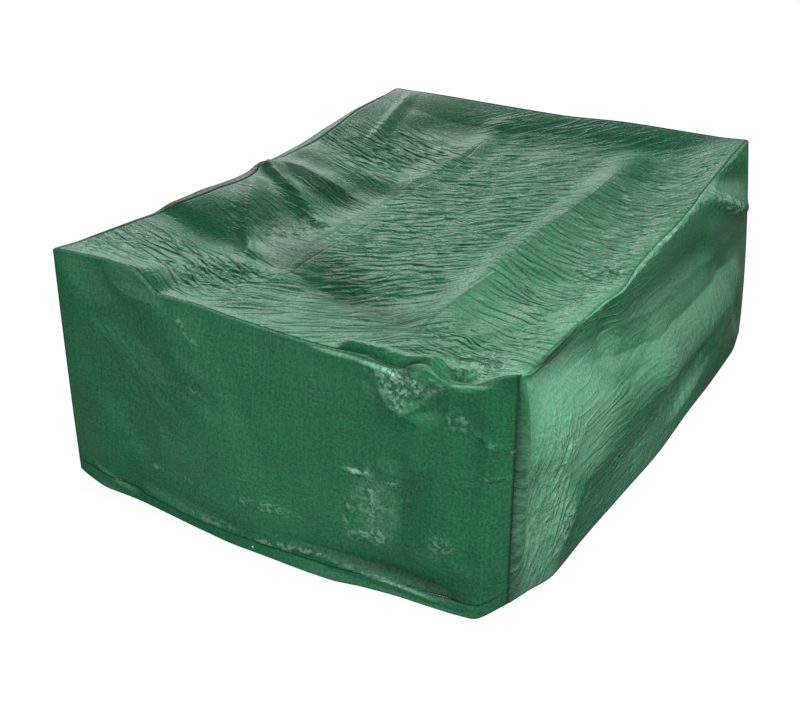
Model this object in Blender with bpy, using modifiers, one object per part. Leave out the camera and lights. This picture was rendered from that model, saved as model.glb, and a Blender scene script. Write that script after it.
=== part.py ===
"""Fitted cover for a patio table and its chairs, sewn from green woven polyethylene sheet.

Five pieces are cut from the sheet: a top and four side panels, sewn along the rim and down the corners.
The lowest strip of the front panel is turned up into a hem that carries one metal eyelet.
The cover hangs over furniture, so its rim sags between the corners, its top dips and its sides flare.

Frame: +X runs along the front to the right, +Y from front to back, +Z up, in metres.
The origin is on the ground under the middle of the cover.
"""

import math
from collections import namedtuple

import bpy
import numpy as np
from mathutils import Vector

# The cut sizes of the cover and of what it is sewn from.
WIDTH = 2.04
DEPTH = 2.78
SHEET = 0.002
GAP = 0.0003
SEAM = SHEET + GAP
CORNER_SEAM = SHEET + 3 * GAP
HEM = 0.055

# The metal eyelet in the middle of the front hem.
EYELET_ALONG = 0.985
EYELET_HEIGHT = 0.022
EYELET_BORE = 0.005
EYELET_BARREL = 0.0062
EYELET_FLANGE = 0.0095
EYELET_PLATE = 0.0009
HOLE_RADIUS = EYELET_BARREL + GAP
EYELET_PATCH = 0.03
CUTTER_DEPTH = 0.02
TURN_STEPS = 24

# How the side panels hang: the kick of a hem dies out above it, the rim's edge is rounded by its roll,
# and the folds die out towards the corner seams, over this share of the side.
FLARE_POWER = 1.6
KICK_REACH = 0.24
ROLL_DROP = 0.35
LEAST_DROP = 0.008
CORNER_ROLL = 0.004
FOLDS_START = 1 / 16

# The spacing of the points that carry the folds.
STEP = 0.088
EDGE_STEPS = (0.030, 0.072)
FIRST_RISES = (0.0, 0.07, 0.15, 0.25, 0.37, 0.50, 0.63, 0.76, 0.88, 1.0)
TURNS = (0.5, 1.0)

# The level of the sagged top, where its three long creases run, and how far in from each rim the cloth
# slopes down to that level.
TOP_LEVEL = 0.925
LONG_CREASES = (-0.25, 0.04, 0.51)
Slope = namedtuple("Slope", "side reach power")
SLOPES = {
    slope.side: slope
    for slope in (
        Slope("front", 0.34, 1.8),
        Slope("right", 0.50, 2.0),
        Slope("back", 0.56, 1.5),
        Slope("left", 0.55, 1.7),
    )
}

# Where each corner of the rim stands, and where the corner seam meets the ground.
Corner = namedtuple("Corner", "name x y height foot_x foot_y")
CORNERS = {
    corner.name: corner
    for corner in (
        Corner("front_left", -WIDTH / 2, -DEPTH / 2, 1.055, -1.055, -1.379),
        Corner("front_right", WIDTH / 2, -DEPTH / 2, 1.037, 0.981, -1.291),
        Corner("back_right", WIDTH / 2, DEPTH / 2, 1.045, 1.116, 1.362),
        Corner("back_left", -WIDTH / 2, DEPTH / 2, 1.032, -1.080, 1.400),
    )
}

# The rim of each side, by its share of the side's length: out is its shift from the straight line,
# and roll is how far the seam lies in on the top, past the rounded edge.
Rim = namedtuple("Rim", "share out height roll")
RIMS = {
    "front": (
        Rim(0.04, -0.004, 1.058, 0.008),
        Rim(0.12, -0.030, 1.050, 0.012),
        Rim(0.18, -0.030, 1.040, 0.014),
        Rim(0.22, -0.015, 1.008, 0.012),
        Rim(0.26, 0.000, 0.974, 0.010),
        Rim(0.33, 0.000, 0.974, 0.008),
        Rim(0.43, 0.000, 0.958, 0.008),
        Rim(0.62, 0.002, 0.943, 0.008),
        Rim(0.71, 0.006, 0.951, 0.012),
        Rim(0.78, 0.012, 0.936, 0.014),
        Rim(0.83, 0.004, 0.972, 0.012),
        Rim(0.87, 0.010, 0.941, 0.012),
        Rim(0.92, 0.006, 0.952, 0.010),
        Rim(0.97, 0.000, 1.010, 0.008),
    ),
    "right": (
        Rim(0.02, 0.000, 1.006, 0.008),
        Rim(0.05, 0.000, 0.982, 0.010),
        Rim(0.18, 0.000, 0.976, 0.010),
        Rim(0.28, 0.004, 0.964, 0.014),
        Rim(0.36, 0.012, 0.936, 0.020),
        Rim(0.43, 0.004, 0.956, 0.020),
        Rim(0.52, 0.000, 0.963, 0.018),
        Rim(0.60, 0.000, 0.959, 0.016),
        Rim(0.67, 0.000, 0.971, 0.014),
        Rim(0.79, 0.000, 0.994, 0.020),
        Rim(0.90, 0.000, 1.022, 0.016),
        Rim(0.97, 0.000, 1.042, 0.008),
    ),
    "back": (
        Rim(0.09, 0.000, 1.040, 0.010),
        Rim(0.30, -0.004, 1.044, 0.012),
        Rim(0.50, -0.008, 1.029, 0.014),
        Rim(0.67, -0.006, 1.031, 0.012),
        Rim(0.87, 0.000, 1.034, 0.010),
    ),
    "left": (
        Rim(0.07, 0.000, 1.031, 0.012),
        Rim(0.16, 0.000, 1.030, 0.020),
        Rim(0.21, 0.000, 1.026, 0.040),
        Rim(0.27, 0.000, 1.020, 0.066),
        Rim(0.34, 0.000, 1.006, 0.076),
        Rim(0.40, 0.000, 0.992, 0.055),
        Rim(0.46, 0.000, 0.985, 0.030),
        Rim(0.49, 0.006, 0.992, 0.015),
        Rim(0.53, 0.000, 0.986, 0.050),
        Rim(0.60, 0.004, 0.999, 0.086),
        Rim(0.68, 0.004, 1.018, 0.086),
        Rim(0.74, 0.002, 1.020, 0.060),
        Rim(0.78, 0.000, 1.004, 0.030),
        Rim(0.83, 0.000, 1.014, 0.020),
        Rim(0.95, 0.000, 1.040, 0.012),
    ),
}

# The hem of each side on the ground: along from the side's first corner, out past its straight line,
# and kick is how far the lowest edge stands out past the cloth just above the hem.
Hem = namedtuple("Hem", "share along out kick")
HEMS = {
    "front": (
        Hem(0.04, 0.060, 0.022, 0.010),
        Hem(0.10, 0.190, 0.052, 0.018),
        Hem(0.17, 0.345, 0.055, 0.010),
        Hem(0.21, 0.425, 0.062, -0.008),
        Hem(0.35, 0.714, 0.094, -0.010),
        Hem(0.45, 0.918, 0.110, 0.000),
        Hem(0.51, 1.040, 0.110, 0.000),
        Hem(0.59, 1.210, 0.112, 0.010),
        Hem(0.66, 1.345, 0.108, 0.014),
        Hem(0.72, 1.475, 0.084, 0.018),
        Hem(0.80, 1.630, 0.066, 0.030),
        Hem(0.87, 1.760, 0.060, 0.026),
        Hem(0.945, 1.922, 0.043, 0.008),
    ),
    "right": (
        Hem(0.055, 0.205, -0.004, 0.000),
        Hem(0.12, 0.344, 0.042, 0.004),
        Hem(0.22, 0.630, 0.056, 0.008),
        Hem(0.34, 0.965, 0.081, 0.012),
        Hem(0.52, 1.455, 0.113, 0.012),
        Hem(0.63, 1.750, 0.115, 0.008),
        Hem(0.77, 2.140, 0.126, 0.000),
        Hem(0.89, 2.470, 0.128, -0.006),
    ),
    "back": (
        Hem(0.10, 0.200, 0.030, 0.004),
        Hem(0.30, 0.600, 0.088, 0.008),
        Hem(0.47, 0.950, 0.110, 0.012),
        Hem(0.63, 1.290, 0.092, 0.006),
        Hem(0.80, 1.640, 0.078, 0.012),
        Hem(0.92, 1.890, 0.040, 0.004),
    ),
    "left": (
        Hem(0.10, 0.280, 0.072, 0.004),
        Hem(0.26, 0.730, 0.112, 0.010),
        Hem(0.44, 1.230, 0.122, 0.012),
        Hem(0.58, 1.600, 0.100, 0.004),
        Hem(0.75, 2.080, 0.104, 0.010),
        Hem(0.90, 2.500, 0.066, 0.006),
    ),
}

# The main folds of a side panel: soft ridges, or troughs where the height is negative, along straight
# lines. They are placed by metres along the side and up from the ground.
Fold = namedtuple("Fold", "along_0 up_0 along_1 up_1 half_width height")
SIDE_FOLDS = {
    "front": (
        Fold(0.10, 0.97, 0.52, 0.74, 0.10, -0.014),
        Fold(0.30, 0.98, 0.50, 0.90, 0.09, 0.012),
        Fold(0.06, 0.70, 0.40, 0.34, 0.13, -0.010),
        Fold(0.62, 0.80, 0.98, 0.20, 0.20, 0.014),
        Fold(1.52, 0.88, 1.72, 0.84, 0.09, -0.014),
        Fold(1.66, 0.93, 1.67, 0.60, 0.09, 0.012),
        Fold(1.58, 0.52, 1.64, 0.24, 0.09, 0.010),
        Fold(1.26, 0.19, 1.82, 0.11, 0.10, -0.022),
        Fold(1.88, 0.80, 1.90, 0.25, 0.10, -0.012),
    ),
    "right": (
        Fold(0.032, 0.88, 0.060, 0.10, 0.05, 0.030),
        Fold(0.12, 0.95, 0.90, 0.82, 0.16, -0.030),
        Fold(0.90, 0.82, 1.95, 0.74, 0.20, -0.034),
        Fold(0.30, 0.62, 1.35, 0.50, 0.24, 0.026),
        Fold(1.35, 0.50, 2.40, 0.42, 0.20, 0.034),
        Fold(1.10, 0.18, 1.95, 0.24, 0.13, -0.022),
        Fold(1.55, 0.06, 2.15, 0.30, 0.09, 0.016),
        Fold(2.08, 0.97, 2.70, 0.74, 0.10, 0.024),
        Fold(2.30, 0.98, 2.68, 0.88, 0.10, -0.026),
        Fold(2.20, 0.60, 2.62, 0.12, 0.12, -0.018),
    ),
    "back": (
        Fold(0.08, 0.95, 0.60, 0.45, 0.14, -0.020),
        Fold(0.62, 0.90, 0.70, 0.15, 0.12, 0.018),
        Fold(1.00, 0.85, 1.06, 0.12, 0.13, -0.020),
        Fold(1.36, 0.80, 1.28, 0.10, 0.11, 0.018),
        Fold(1.95, 0.95, 1.52, 0.40, 0.14, -0.022),
    ),
    "left": (
        Fold(0.10, 0.95, 0.74, 0.50, 0.15, -0.024),
        Fold(0.70, 0.85, 0.78, 0.10, 0.13, 0.020),
        Fold(1.36, 0.86, 1.02, 0.16, 0.14, -0.024),
        Fold(1.40, 0.82, 1.76, 0.14, 0.14, 0.022),
        Fold(2.02, 0.86, 2.06, 0.12, 0.12, -0.020),
        Fold(2.68, 0.95, 2.28, 0.36, 0.15, -0.022),
    ),
}

# The main folds of the top, from (x_0, y_0) to (x_1, y_1): the long creases that the sheet keeps from
# its packing, the pull at the left rim, the lip behind the front rim and the dips between them.
Crease = namedtuple("Crease", "x_0 y_0 x_1 y_1 half_width height")
TOP_FOLDS = (
    Crease(-0.22, -1.22, -0.27, 1.15, 0.13, 0.016),
    Crease(0.08, -1.10, 0.00, 1.05, 0.13, -0.010),
    Crease(0.49, -1.18, 0.53, 1.05, 0.15, 0.020),
    Crease(0.78, -0.95, 0.80, 0.95, 0.22, -0.014),
    Crease(-0.66, -0.70, -0.42, 0.00, 0.30, -0.034),
    Crease(-0.95, 0.06, -0.42, -0.30, 0.10, 0.030),
    Crease(-0.90, 0.16, -0.36, 0.05, 0.09, -0.026),
    Crease(-0.88, 0.30, -0.30, 0.24, 0.16, 0.020),
    Crease(-0.89, -0.20, -0.50, -0.78, 0.10, 0.018),
    Crease(-0.60, -1.22, -0.50, -0.85, 0.22, 0.018),
    Crease(-0.15, -0.98, 0.30, -0.80, 0.22, -0.020),
    Crease(0.34, -1.33, 0.80, -1.31, 0.06, 0.024),
    Crease(0.60, -0.98, 0.92, -1.22, 0.14, 0.014),
    Crease(-0.92, 1.30, -0.76, 0.92, 0.08, 0.014),
    Crease(-0.60, 0.86, 0.75, 1.00, 0.18, -0.016),
    Crease(0.94, -0.30, 0.62, -0.42, 0.12, -0.014),
)

# Each side runs anticlockwise, seen from above, from its first corner to its last.
Side = namedtuple("Side", "name first last")
SIDES = {
    side.name: side
    for side in (
        Side("front", "front_left", "front_right"),
        Side("right", "front_right", "back_right"),
        Side("back", "back_right", "back_left"),
        Side("left", "back_left", "front_left"),
    )
}

CLOTH_COLOUR = (0.028, 0.150, 0.068, 1.0)
METAL_COLOUR = (0.80, 0.80, 0.78, 1.0)


def clear_scene():
    for item in list(bpy.data.objects):
        bpy.data.objects.remove(item, do_unlink=True)


def new_collection(name, shown):
    collection = bpy.data.collections.new(name)
    collection.hide_render = not shown
    bpy.context.scene.collection.children.link(collection)
    return collection


def move_to(item, collection):
    for holder in list(item.users_collection):
        holder.objects.unlink(item)
    collection.objects.link(item)


def new_material(name, colour, roughness, metallic):
    material = bpy.data.materials.new(name)
    material.use_nodes = True
    shader = material.node_tree.nodes["Principled BSDF"]
    shader.inputs["Base Color"].default_value = colour
    shader.inputs["Roughness"].default_value = roughness
    shader.inputs["Metallic"].default_value = metallic
    return material


def eased(shares, values):
    """A smooth curve through the values, with no overshoot between two of them."""
    shares = np.array(shares, float)
    values = np.array(values, float)
    widths = np.diff(shares)
    slopes = np.diff(values) / widths
    tangents = np.zeros(len(values))
    for i in range(1, len(values) - 1):
        before, after = slopes[i - 1], slopes[i]
        if before * after > 0.0:
            tangents[i] = 2.0 * before * after / (before + after)
    tangents[0] = slopes[0]
    tangents[-1] = slopes[-1]

    def value(share):
        i = int(np.clip(np.searchsorted(shares, share) - 1, 0, len(widths) - 1))
        t = (share - shares[i]) / widths[i]
        start = values[i] * (1 + 2 * t) * (1 - t) ** 2 + tangents[i] * widths[i] * t * (1 - t) ** 2
        end = values[i + 1] * t * t * (3 - 2 * t) - tangents[i + 1] * widths[i] * t * t * (1 - t)
        return start + end

    return value


def ridge(point, start, end, half_width, height):
    """The height of one soft fold at a flat point: highest along its line, and none at its ends."""
    point, start, end = (np.array(each, float) for each in (point, start, end))
    line = end - start
    length = np.linalg.norm(line)
    reach = float((point - start) @ line) / length
    beyond = max(-reach, reach - length, 0.0)
    across = abs(float(line[0] * (point - start)[1] - line[1] * (point - start)[0])) / length
    distance = math.hypot(across, beyond)
    if distance >= half_width:
        return 0.0
    return height * 0.5 * (1.0 + math.cos(math.pi * distance / half_width))


class Hang:
    """How one side panel hangs, from the hem on the ground to the seam along the rim."""

    def __init__(self, side):
        first = CORNERS[side.first]
        last = CORNERS[side.last]
        self.start = np.array((first.x, first.y))
        line = np.array((last.x, last.y)) - self.start
        self.length = np.linalg.norm(line)
        self.way = line / self.length
        self.outward = np.array((self.way[1], -self.way[0]))
        self.folds = SIDE_FOLDS[side.name]
        feet = [self.place_of(corner) for corner in (first, last)]
        rims = [Rim(0.0, 0.0, first.height, CORNER_ROLL), *RIMS[side.name],
                Rim(1.0, 0.0, last.height, CORNER_ROLL)]
        hems = [Hem(0.0, *feet[0], 0.0), *HEMS[side.name], Hem(1.0, *feet[1], 0.0)]
        self.rim = {name: eased([row.share for row in rims], [getattr(row, name) for row in rims])
                    for name in ("out", "height", "roll")}
        self.hem = {name: eased([row.share for row in hems], [getattr(row, name) for row in hems])
                    for name in ("along", "out", "kick")}

    def place_of(self, corner):
        offset = np.array((corner.foot_x, corner.foot_y)) - self.start
        return float(offset @ self.way), float(offset @ self.outward)

    def shoulder(self, share):
        """The height at which the rounded edge of the rim starts."""
        return self.rim["height"](share) - max(ROLL_DROP * self.rim["roll"](share), LEAST_DROP)

    def world(self, along, out, up):
        plan = self.start + self.way * along + self.outward * out
        return np.array((plan[0], plan[1], up))

    def on_panel(self, share, up):
        """A point of the panel at a height above the ground, below the rounded edge."""
        rise = up / self.shoulder(share)
        flare = 1.0 - rise ** FLARE_POWER
        rim_along = share * self.length
        along = rim_along + (self.hem["along"](share) - rim_along) * flare
        rim_out = self.rim["out"](share)
        out = rim_out + (self.hem["out"](share) - rim_out) * flare
        kick = self.hem["kick"](share)
        if up < HEM:
            out -= kick * up / HEM
        elif up < KICK_REACH:
            out -= kick * 0.5 * (1.0 + math.cos(math.pi * (up - HEM) / (KICK_REACH - HEM)))
        ends = min(1.0, share / FOLDS_START, (1.0 - share) / FOLDS_START)
        if up > HEM:
            for fold in self.folds:
                height = ridge((along, up), (fold.along_0, fold.up_0), (fold.along_1, fold.up_1),
                               fold.half_width, fold.height)
                out += height * ends
        return self.world(along, out, up)

    def on_roll(self, share, turn):
        """A point of the rounded edge: turn 0 is its outer side, and turn 1 is the seam."""
        angle = turn * math.pi / 2
        roll = self.rim["roll"](share)
        inward = roll * (1.0 - math.cos(angle))
        base = self.shoulder(share)
        up = base + (self.rim["height"](share) - base) * math.sin(angle)
        along = share * self.length + (1.0 - 2.0 * share) * inward
        return self.world(along, self.rim["out"](share) - inward, up)

    def seam(self, share):
        return self.on_roll(share, 1.0)


def stations(length, marks):
    """Places along a side, as shares of it: the marks, with even steps between them."""
    places = sorted({0.0, length, *EDGE_STEPS, *(length - edge for edge in EDGE_STEPS), *marks})
    shares = [0.0]
    for low, high in zip(places, places[1:]):
        count = max(1, round((high - low) / STEP))
        shares += [(low + (high - low) * (i + 1) / count) / length for i in range(count)]
    return shares


def grid_object(name, columns, rows, place, collection, material):
    """A grid of faces whose points are put where place(column, row) says."""
    bpy.ops.mesh.primitive_grid_add(x_subdivisions=len(columns) - 1, y_subdivisions=len(rows) - 1, size=2.0)
    item = bpy.context.object
    item.name = name
    item.data.name = name
    for vertex in item.data.vertices:
        i = round((vertex.co.x + 1.0) / 2.0 * (len(columns) - 1))
        j = round((vertex.co.y + 1.0) / 2.0 * (len(rows) - 1))
        vertex.co = place(columns[i], rows[j])
    item.data.materials.append(material)
    move_to(item, collection)
    return item


def thicken(item, levels):
    """Gives the sheet its thickness on the inside, and makes the edges that run at these heights level."""
    solidify = item.modifiers.new("sheet", "SOLIDIFY")
    solidify.thickness = SHEET
    solidify.offset = -1.0
    bpy.ops.object.select_all(action="DESELECT")
    bpy.context.view_layer.objects.active = item
    item.select_set(True)
    bpy.ops.object.modifier_apply(modifier=solidify.name)
    for vertex in item.data.vertices:
        for level in levels:
            if abs(vertex.co.z - level) < SHEET:
                vertex.co.z = level
    item.data.shade_smooth()


def trimmed(share, length, trim):
    """Moves the ends of a side in by the width of the seam, where this panel gives way to the next."""
    if share == 0.0:
        return trim / length
    if share == 1.0:
        return 1.0 - trim / length
    return share


def side_panel(side, hang, shares, lowest, trim, collection, material):
    def place(share, step):
        share = trimmed(share, hang.length, trim)
        kind, value = step
        if kind == "roll":
            return hang.on_roll(share, value)
        return hang.on_panel(share, lowest + value * (hang.shoulder(share) - lowest))

    steps = [("panel", rise) for rise in FIRST_RISES] + [("roll", turn) for turn in TURNS]
    panel = grid_object(side.name + "_panel", shares, steps, place, collection, material)
    thicken(panel, (lowest,))
    return panel


def hem_strip(side, hang, shares, collection, material):
    strip = grid_object(side.name + "_hem", shares, (0.0, HEM - GAP), hang.on_panel, collection, material)
    thicken(strip, (0.0, HEM - GAP))
    return strip


def fall(distance, slope):
    """How much of the rim's height is left at a distance in from it."""
    return max(0.0, 1.0 - distance / slope.reach) ** slope.power


def top_point(hangs, share_x, share_y):
    """A point of the top: the rims, sagging to the top's level, with the top's own folds."""
    rim = {
        "front": hangs["front"].seam(share_x),
        "right": hangs["right"].seam(share_y),
        "back": hangs["back"].seam(1.0 - share_x),
        "left": hangs["left"].seam(1.0 - share_y),
    }
    corner = {
        ("front", "left"): hangs["front"].seam(0.0),
        ("front", "right"): hangs["front"].seam(1.0),
        ("back", "right"): hangs["back"].seam(0.0),
        ("back", "left"): hangs["back"].seam(1.0),
    }
    plain = {"front": 1.0 - share_y, "back": share_y, "left": 1.0 - share_x, "right": share_x}
    distance = {"front": share_y * DEPTH, "back": (1.0 - share_y) * DEPTH,
                "left": share_x * WIDTH, "right": (1.0 - share_x) * WIDTH}
    steep = {name: fall(distance[name], SLOPES[name]) for name in distance}
    point = sum(plain[name] * rim[name] for name in rim)
    point -= sum(plain[a] * plain[b] * corner[a, b] for a, b in corner)
    height = TOP_LEVEL + sum(steep[name] * (rim[name][2] - TOP_LEVEL) for name in rim)
    height -= sum(steep[a] * steep[b] * (corner[a, b][2] - TOP_LEVEL) for a, b in corner)
    inside = min(1.0, min(distance.values()) / EDGE_STEPS[0])
    for fold in TOP_FOLDS:
        height += inside * ridge(point[:2], (fold.x_0, fold.y_0), (fold.x_1, fold.y_1),
                                 fold.half_width, fold.height)
    point[2] = height
    return point


def top_panel(hangs, shares_x, shares_y, collection, material):
    def place(share_x, share_y):
        return top_point(hangs, trimmed(share_x, WIDTH, SEAM), trimmed(share_y, DEPTH, SEAM))

    panel = grid_object("top_panel", shares_x, shares_y, place, collection, material)
    thicken(panel, ())
    return panel


def eyelet_frame(hang):
    """The middle of the eyelet on the outer face of the hem, and the turn of Z onto the face's normal."""
    low = [hang.on_panel((EYELET_ALONG + side) / hang.length, 0.0) for side in (-EYELET_PATCH, EYELET_PATCH)]
    high = [hang.on_panel((EYELET_ALONG + side) / hang.length, HEM - GAP) for side in (-EYELET_PATCH, EYELET_PATCH)]
    rise = EYELET_HEIGHT / (HEM - GAP)
    centre = (1.0 - rise) * (low[0] + low[1]) / 2 + rise * (high[0] + high[1]) / 2
    across = low[1] + high[1] - low[0] - high[0]
    upward = high[0] + high[1] - low[0] - low[1]
    turn = Vector(np.cross(across, upward)).to_track_quat("Z", "Y").to_euler()
    return centre, turn


def punch_hole(strip, centre, turn, collection):
    """Cuts the round hole of the eyelet through the hem."""
    bpy.ops.mesh.primitive_cylinder_add(vertices=TURN_STEPS, radius=HOLE_RADIUS, depth=CUTTER_DEPTH,
                                        location=centre, rotation=turn)
    cutter = bpy.context.object
    cutter.name = "eyelet_hole"
    cutter.hide_render = True
    cutter.display_type = "WIRE"
    move_to(cutter, collection)
    cut = strip.modifiers.new("eyelet hole", "BOOLEAN")
    cut.operation = "DIFFERENCE"
    cut.solver = "EXACT"
    cut.object = cutter


def eyelet_ring(name, centre, turn, collection, material):
    """A turned ring whose two flanges hold the hem between them, a little clear of it on each side."""
    front = GAP + EYELET_PLATE
    back = SHEET + GAP + EYELET_PLATE
    profile = (
        (EYELET_BORE, front * 0.6),
        (EYELET_BARREL, front),
        (EYELET_FLANGE - EYELET_PLATE / 2, front),
        (EYELET_FLANGE, GAP + EYELET_PLATE / 2),
        (EYELET_FLANGE, GAP),
        (EYELET_BARREL, GAP),
        (EYELET_BARREL, -SHEET - GAP),
        (EYELET_FLANGE, -SHEET - GAP),
        (EYELET_FLANGE, -back),
        (EYELET_BORE, -back),
    )
    mesh = bpy.data.meshes.new(name)
    mesh.from_pydata([(radius, 0.0, depth) for radius, depth in profile],
                     [(i, (i + 1) % len(profile)) for i in range(len(profile))], [])
    ring = bpy.data.objects.new(name, mesh)
    collection.objects.link(ring)
    lathe = ring.modifiers.new("turned", "SCREW")
    lathe.axis = "Z"
    lathe.angle = 2 * math.pi
    lathe.steps = TURN_STEPS
    lathe.render_steps = TURN_STEPS
    lathe.use_merge_vertices = True
    lathe.merge_threshold = 0.00001
    lathe.use_normal_calculate = True
    ring.location = centre
    ring.rotation_euler = turn
    mesh.materials.append(material)
    return ring


def build():
    clear_scene()
    parts = new_collection("patio_furniture_cover", True)
    cutters = new_collection("cutters", False)
    cloth = new_material("woven_sheet", CLOTH_COLOUR, 0.36, 0.0)
    metal = new_material("eyelet_metal", METAL_COLOUR, 0.30, 1.0)
    hangs = {name: Hang(side) for name, side in SIDES.items()}
    creases = [WIDTH / 2 + x for x in LONG_CREASES]
    patch = [EYELET_ALONG - EYELET_PATCH, EYELET_ALONG + EYELET_PATCH]
    shares_x = stations(WIDTH, creases + patch)
    shares_y = stations(DEPTH, [])
    back_x = [1.0 - share for share in reversed(shares_x)]
    left_y = [1.0 - share for share in reversed(shares_y)]
    side_panel(SIDES["front"], hangs["front"], shares_x, HEM, 0.0, parts, cloth)
    side_panel(SIDES["right"], hangs["right"], shares_y, 0.0, CORNER_SEAM, parts, cloth)
    side_panel(SIDES["back"], hangs["back"], back_x, 0.0, 0.0, parts, cloth)
    side_panel(SIDES["left"], hangs["left"], left_y, 0.0, CORNER_SEAM, parts, cloth)
    top_panel(hangs, shares_x, shares_y, parts, cloth)
    strip = hem_strip(SIDES["front"], hangs["front"], shares_x, parts, cloth)
    centre, turn = eyelet_frame(hangs["front"])
    punch_hole(strip, centre, turn, cutters)
    eyelet_ring("front_eyelet", centre, turn, parts, metal)


build()
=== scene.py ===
"""The looks of a fitted cover for a patio table and its chairs, made of green woven polyethylene sheet.

+X runs along the front to the right, +Y from front to back, +Z up, in metres. The cover stands on z = 0.
"""

import math
from collections import namedtuple

import bpy
import numpy as np
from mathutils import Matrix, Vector


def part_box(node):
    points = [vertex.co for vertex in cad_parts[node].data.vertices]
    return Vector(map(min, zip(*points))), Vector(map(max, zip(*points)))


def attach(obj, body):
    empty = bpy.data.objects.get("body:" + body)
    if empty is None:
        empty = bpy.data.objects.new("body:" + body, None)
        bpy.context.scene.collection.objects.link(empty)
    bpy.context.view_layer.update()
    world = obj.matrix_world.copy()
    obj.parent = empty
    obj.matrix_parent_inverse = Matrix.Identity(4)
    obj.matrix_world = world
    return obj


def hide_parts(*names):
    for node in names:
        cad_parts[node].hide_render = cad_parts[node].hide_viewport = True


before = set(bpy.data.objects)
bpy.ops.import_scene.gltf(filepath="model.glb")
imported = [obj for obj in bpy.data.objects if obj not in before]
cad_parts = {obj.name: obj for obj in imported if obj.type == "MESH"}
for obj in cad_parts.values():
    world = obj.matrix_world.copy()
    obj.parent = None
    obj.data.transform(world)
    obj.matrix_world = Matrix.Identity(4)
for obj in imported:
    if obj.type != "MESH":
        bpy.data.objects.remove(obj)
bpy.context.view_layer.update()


# Front panel: cut 2.04 m wide and 1 m high from woven polyethylene sheet with a shiny film on it.
# Sewn to the top along the rim and to the two side panels down the corners, with the hem strip below it.
# It hangs nearly flat, kicks out at the hem and is crumpled where it was folded for packing.

WIDTH = 2.04
DEPTH = 2.78
SHEET = 0.002
GAP = 0.0003
SEAM = SHEET + GAP
CORNER_SEAM = SHEET + 3 * GAP
HEM = 0.055
# A side panel flares towards the ground, and its hem kicks in or out up to a height.
FLARE_POWER = 1.6
KICK_REACH = 0.24
# At the rim it rolls over to the seam, and its soft folds fade out towards the corners.
ROLL_DROP = 0.35
LEAST_DROP = 0.008
CORNER_ROLL = 0.004
FOLDS_START = 1 / 16
# Every edge curls in over a few closer steps and is tucked behind the next panel.
EDGE_CURL = 0.01
EDGE_STEPS = (0.0, 0.0025, 0.006, 0.011, 0.018)
TUCKS = (0.004, 0.01)
TUCK_INWARD = 0.3
# The relief fades out to the edges, and is flat round the eyelet.
FADE = 0.02
EYELET_ALONG = 0.985
EYELET_UP = 0.022
EYELET_FLAT = 0.03
# Painted sheen: a side panel is painted paler from the least to the most that the cloth faces upwards, as if
# lit from above.
UP_SHEEN_LEAST = 0.06
UP_SHEEN_MOST = 0.6

Corner = namedtuple("Corner", "x y height foot_x foot_y")
CORNERS = {
    "front_left": Corner(-WIDTH / 2, -DEPTH / 2, 1.055, -1.055, -1.379),
    "front_right": Corner(WIDTH / 2, -DEPTH / 2, 1.037, 0.981, -1.291),
    "back_right": Corner(WIDTH / 2, DEPTH / 2, 1.045, 1.116, 1.362),
    "back_left": Corner(-WIDTH / 2, DEPTH / 2, 1.032, -1.08, 1.4),
}

# The columns of the tables. Along is from a panel's left corner, seen from outside, and up is from its hem.
Rim = namedtuple("Rim", "share out height roll")
Hem = namedtuple("Hem", "share along out kick")
Fold = namedtuple("Fold", "along_0 up_0 along_1 up_1 half_width height")
Crease = namedtuple("Crease", "left right crest points")
Crinkles = namedtuple(
    "Crinkles", "along_0 up_0 along_1 up_1 reach count angle spread length half_width height")
Patch = namedtuple("Patch", "along up half_along half_up turn strength")


def table(kind, *rows):
    """The rows of one table, each with its columns named."""
    return tuple(kind(*row) for row in rows)


def patchwork(**wear_and_light):
    """The patches of each kind: crinkled, crossed, crumpled, and painted sheen."""
    return {kind: table(Patch, *rows) for kind, rows in wear_and_light.items()}


FRONT_RIM = table(
    Rim,
    (0.04, -0.004, 1.058, 0.008),
    (0.12, -0.03, 1.05, 0.012),
    (0.18, -0.03, 1.04, 0.014),
    (0.22, -0.015, 1.008, 0.012),
    (0.26, 0, 0.974, 0.01),
    (0.33, 0, 0.974, 0.008),
    (0.43, 0, 0.958, 0.008),
    (0.62, 0.002, 0.943, 0.008),
    (0.71, 0.006, 0.951, 0.012),
    (0.78, 0.012, 0.936, 0.014),
    (0.83, 0.004, 0.972, 0.012),
    (0.87, 0.01, 0.941, 0.012),
    (0.92, 0.006, 0.952, 0.01),
    (0.97, 0, 1.01, 0.008),
)
FRONT_HEM = table(
    Hem,
    (0.04, 0.06, 0.022, 0.01),
    (0.1, 0.19, 0.052, 0.018),
    (0.17, 0.345, 0.055, 0.01),
    (0.21, 0.425, 0.062, -0.008),
    (0.35, 0.714, 0.094, -0.01),
    (0.45, 0.918, 0.11, 0),
    (0.51, 1.04, 0.11, 0),
    (0.59, 1.21, 0.112, 0.01),
    (0.66, 1.345, 0.108, 0.014),
    (0.72, 1.475, 0.084, 0.012),
    (0.8, 1.63, 0.066, 0.016),
    (0.87, 1.76, 0.06, 0.014),
    (0.945, 1.922, 0.043, 0.008),
)
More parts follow.
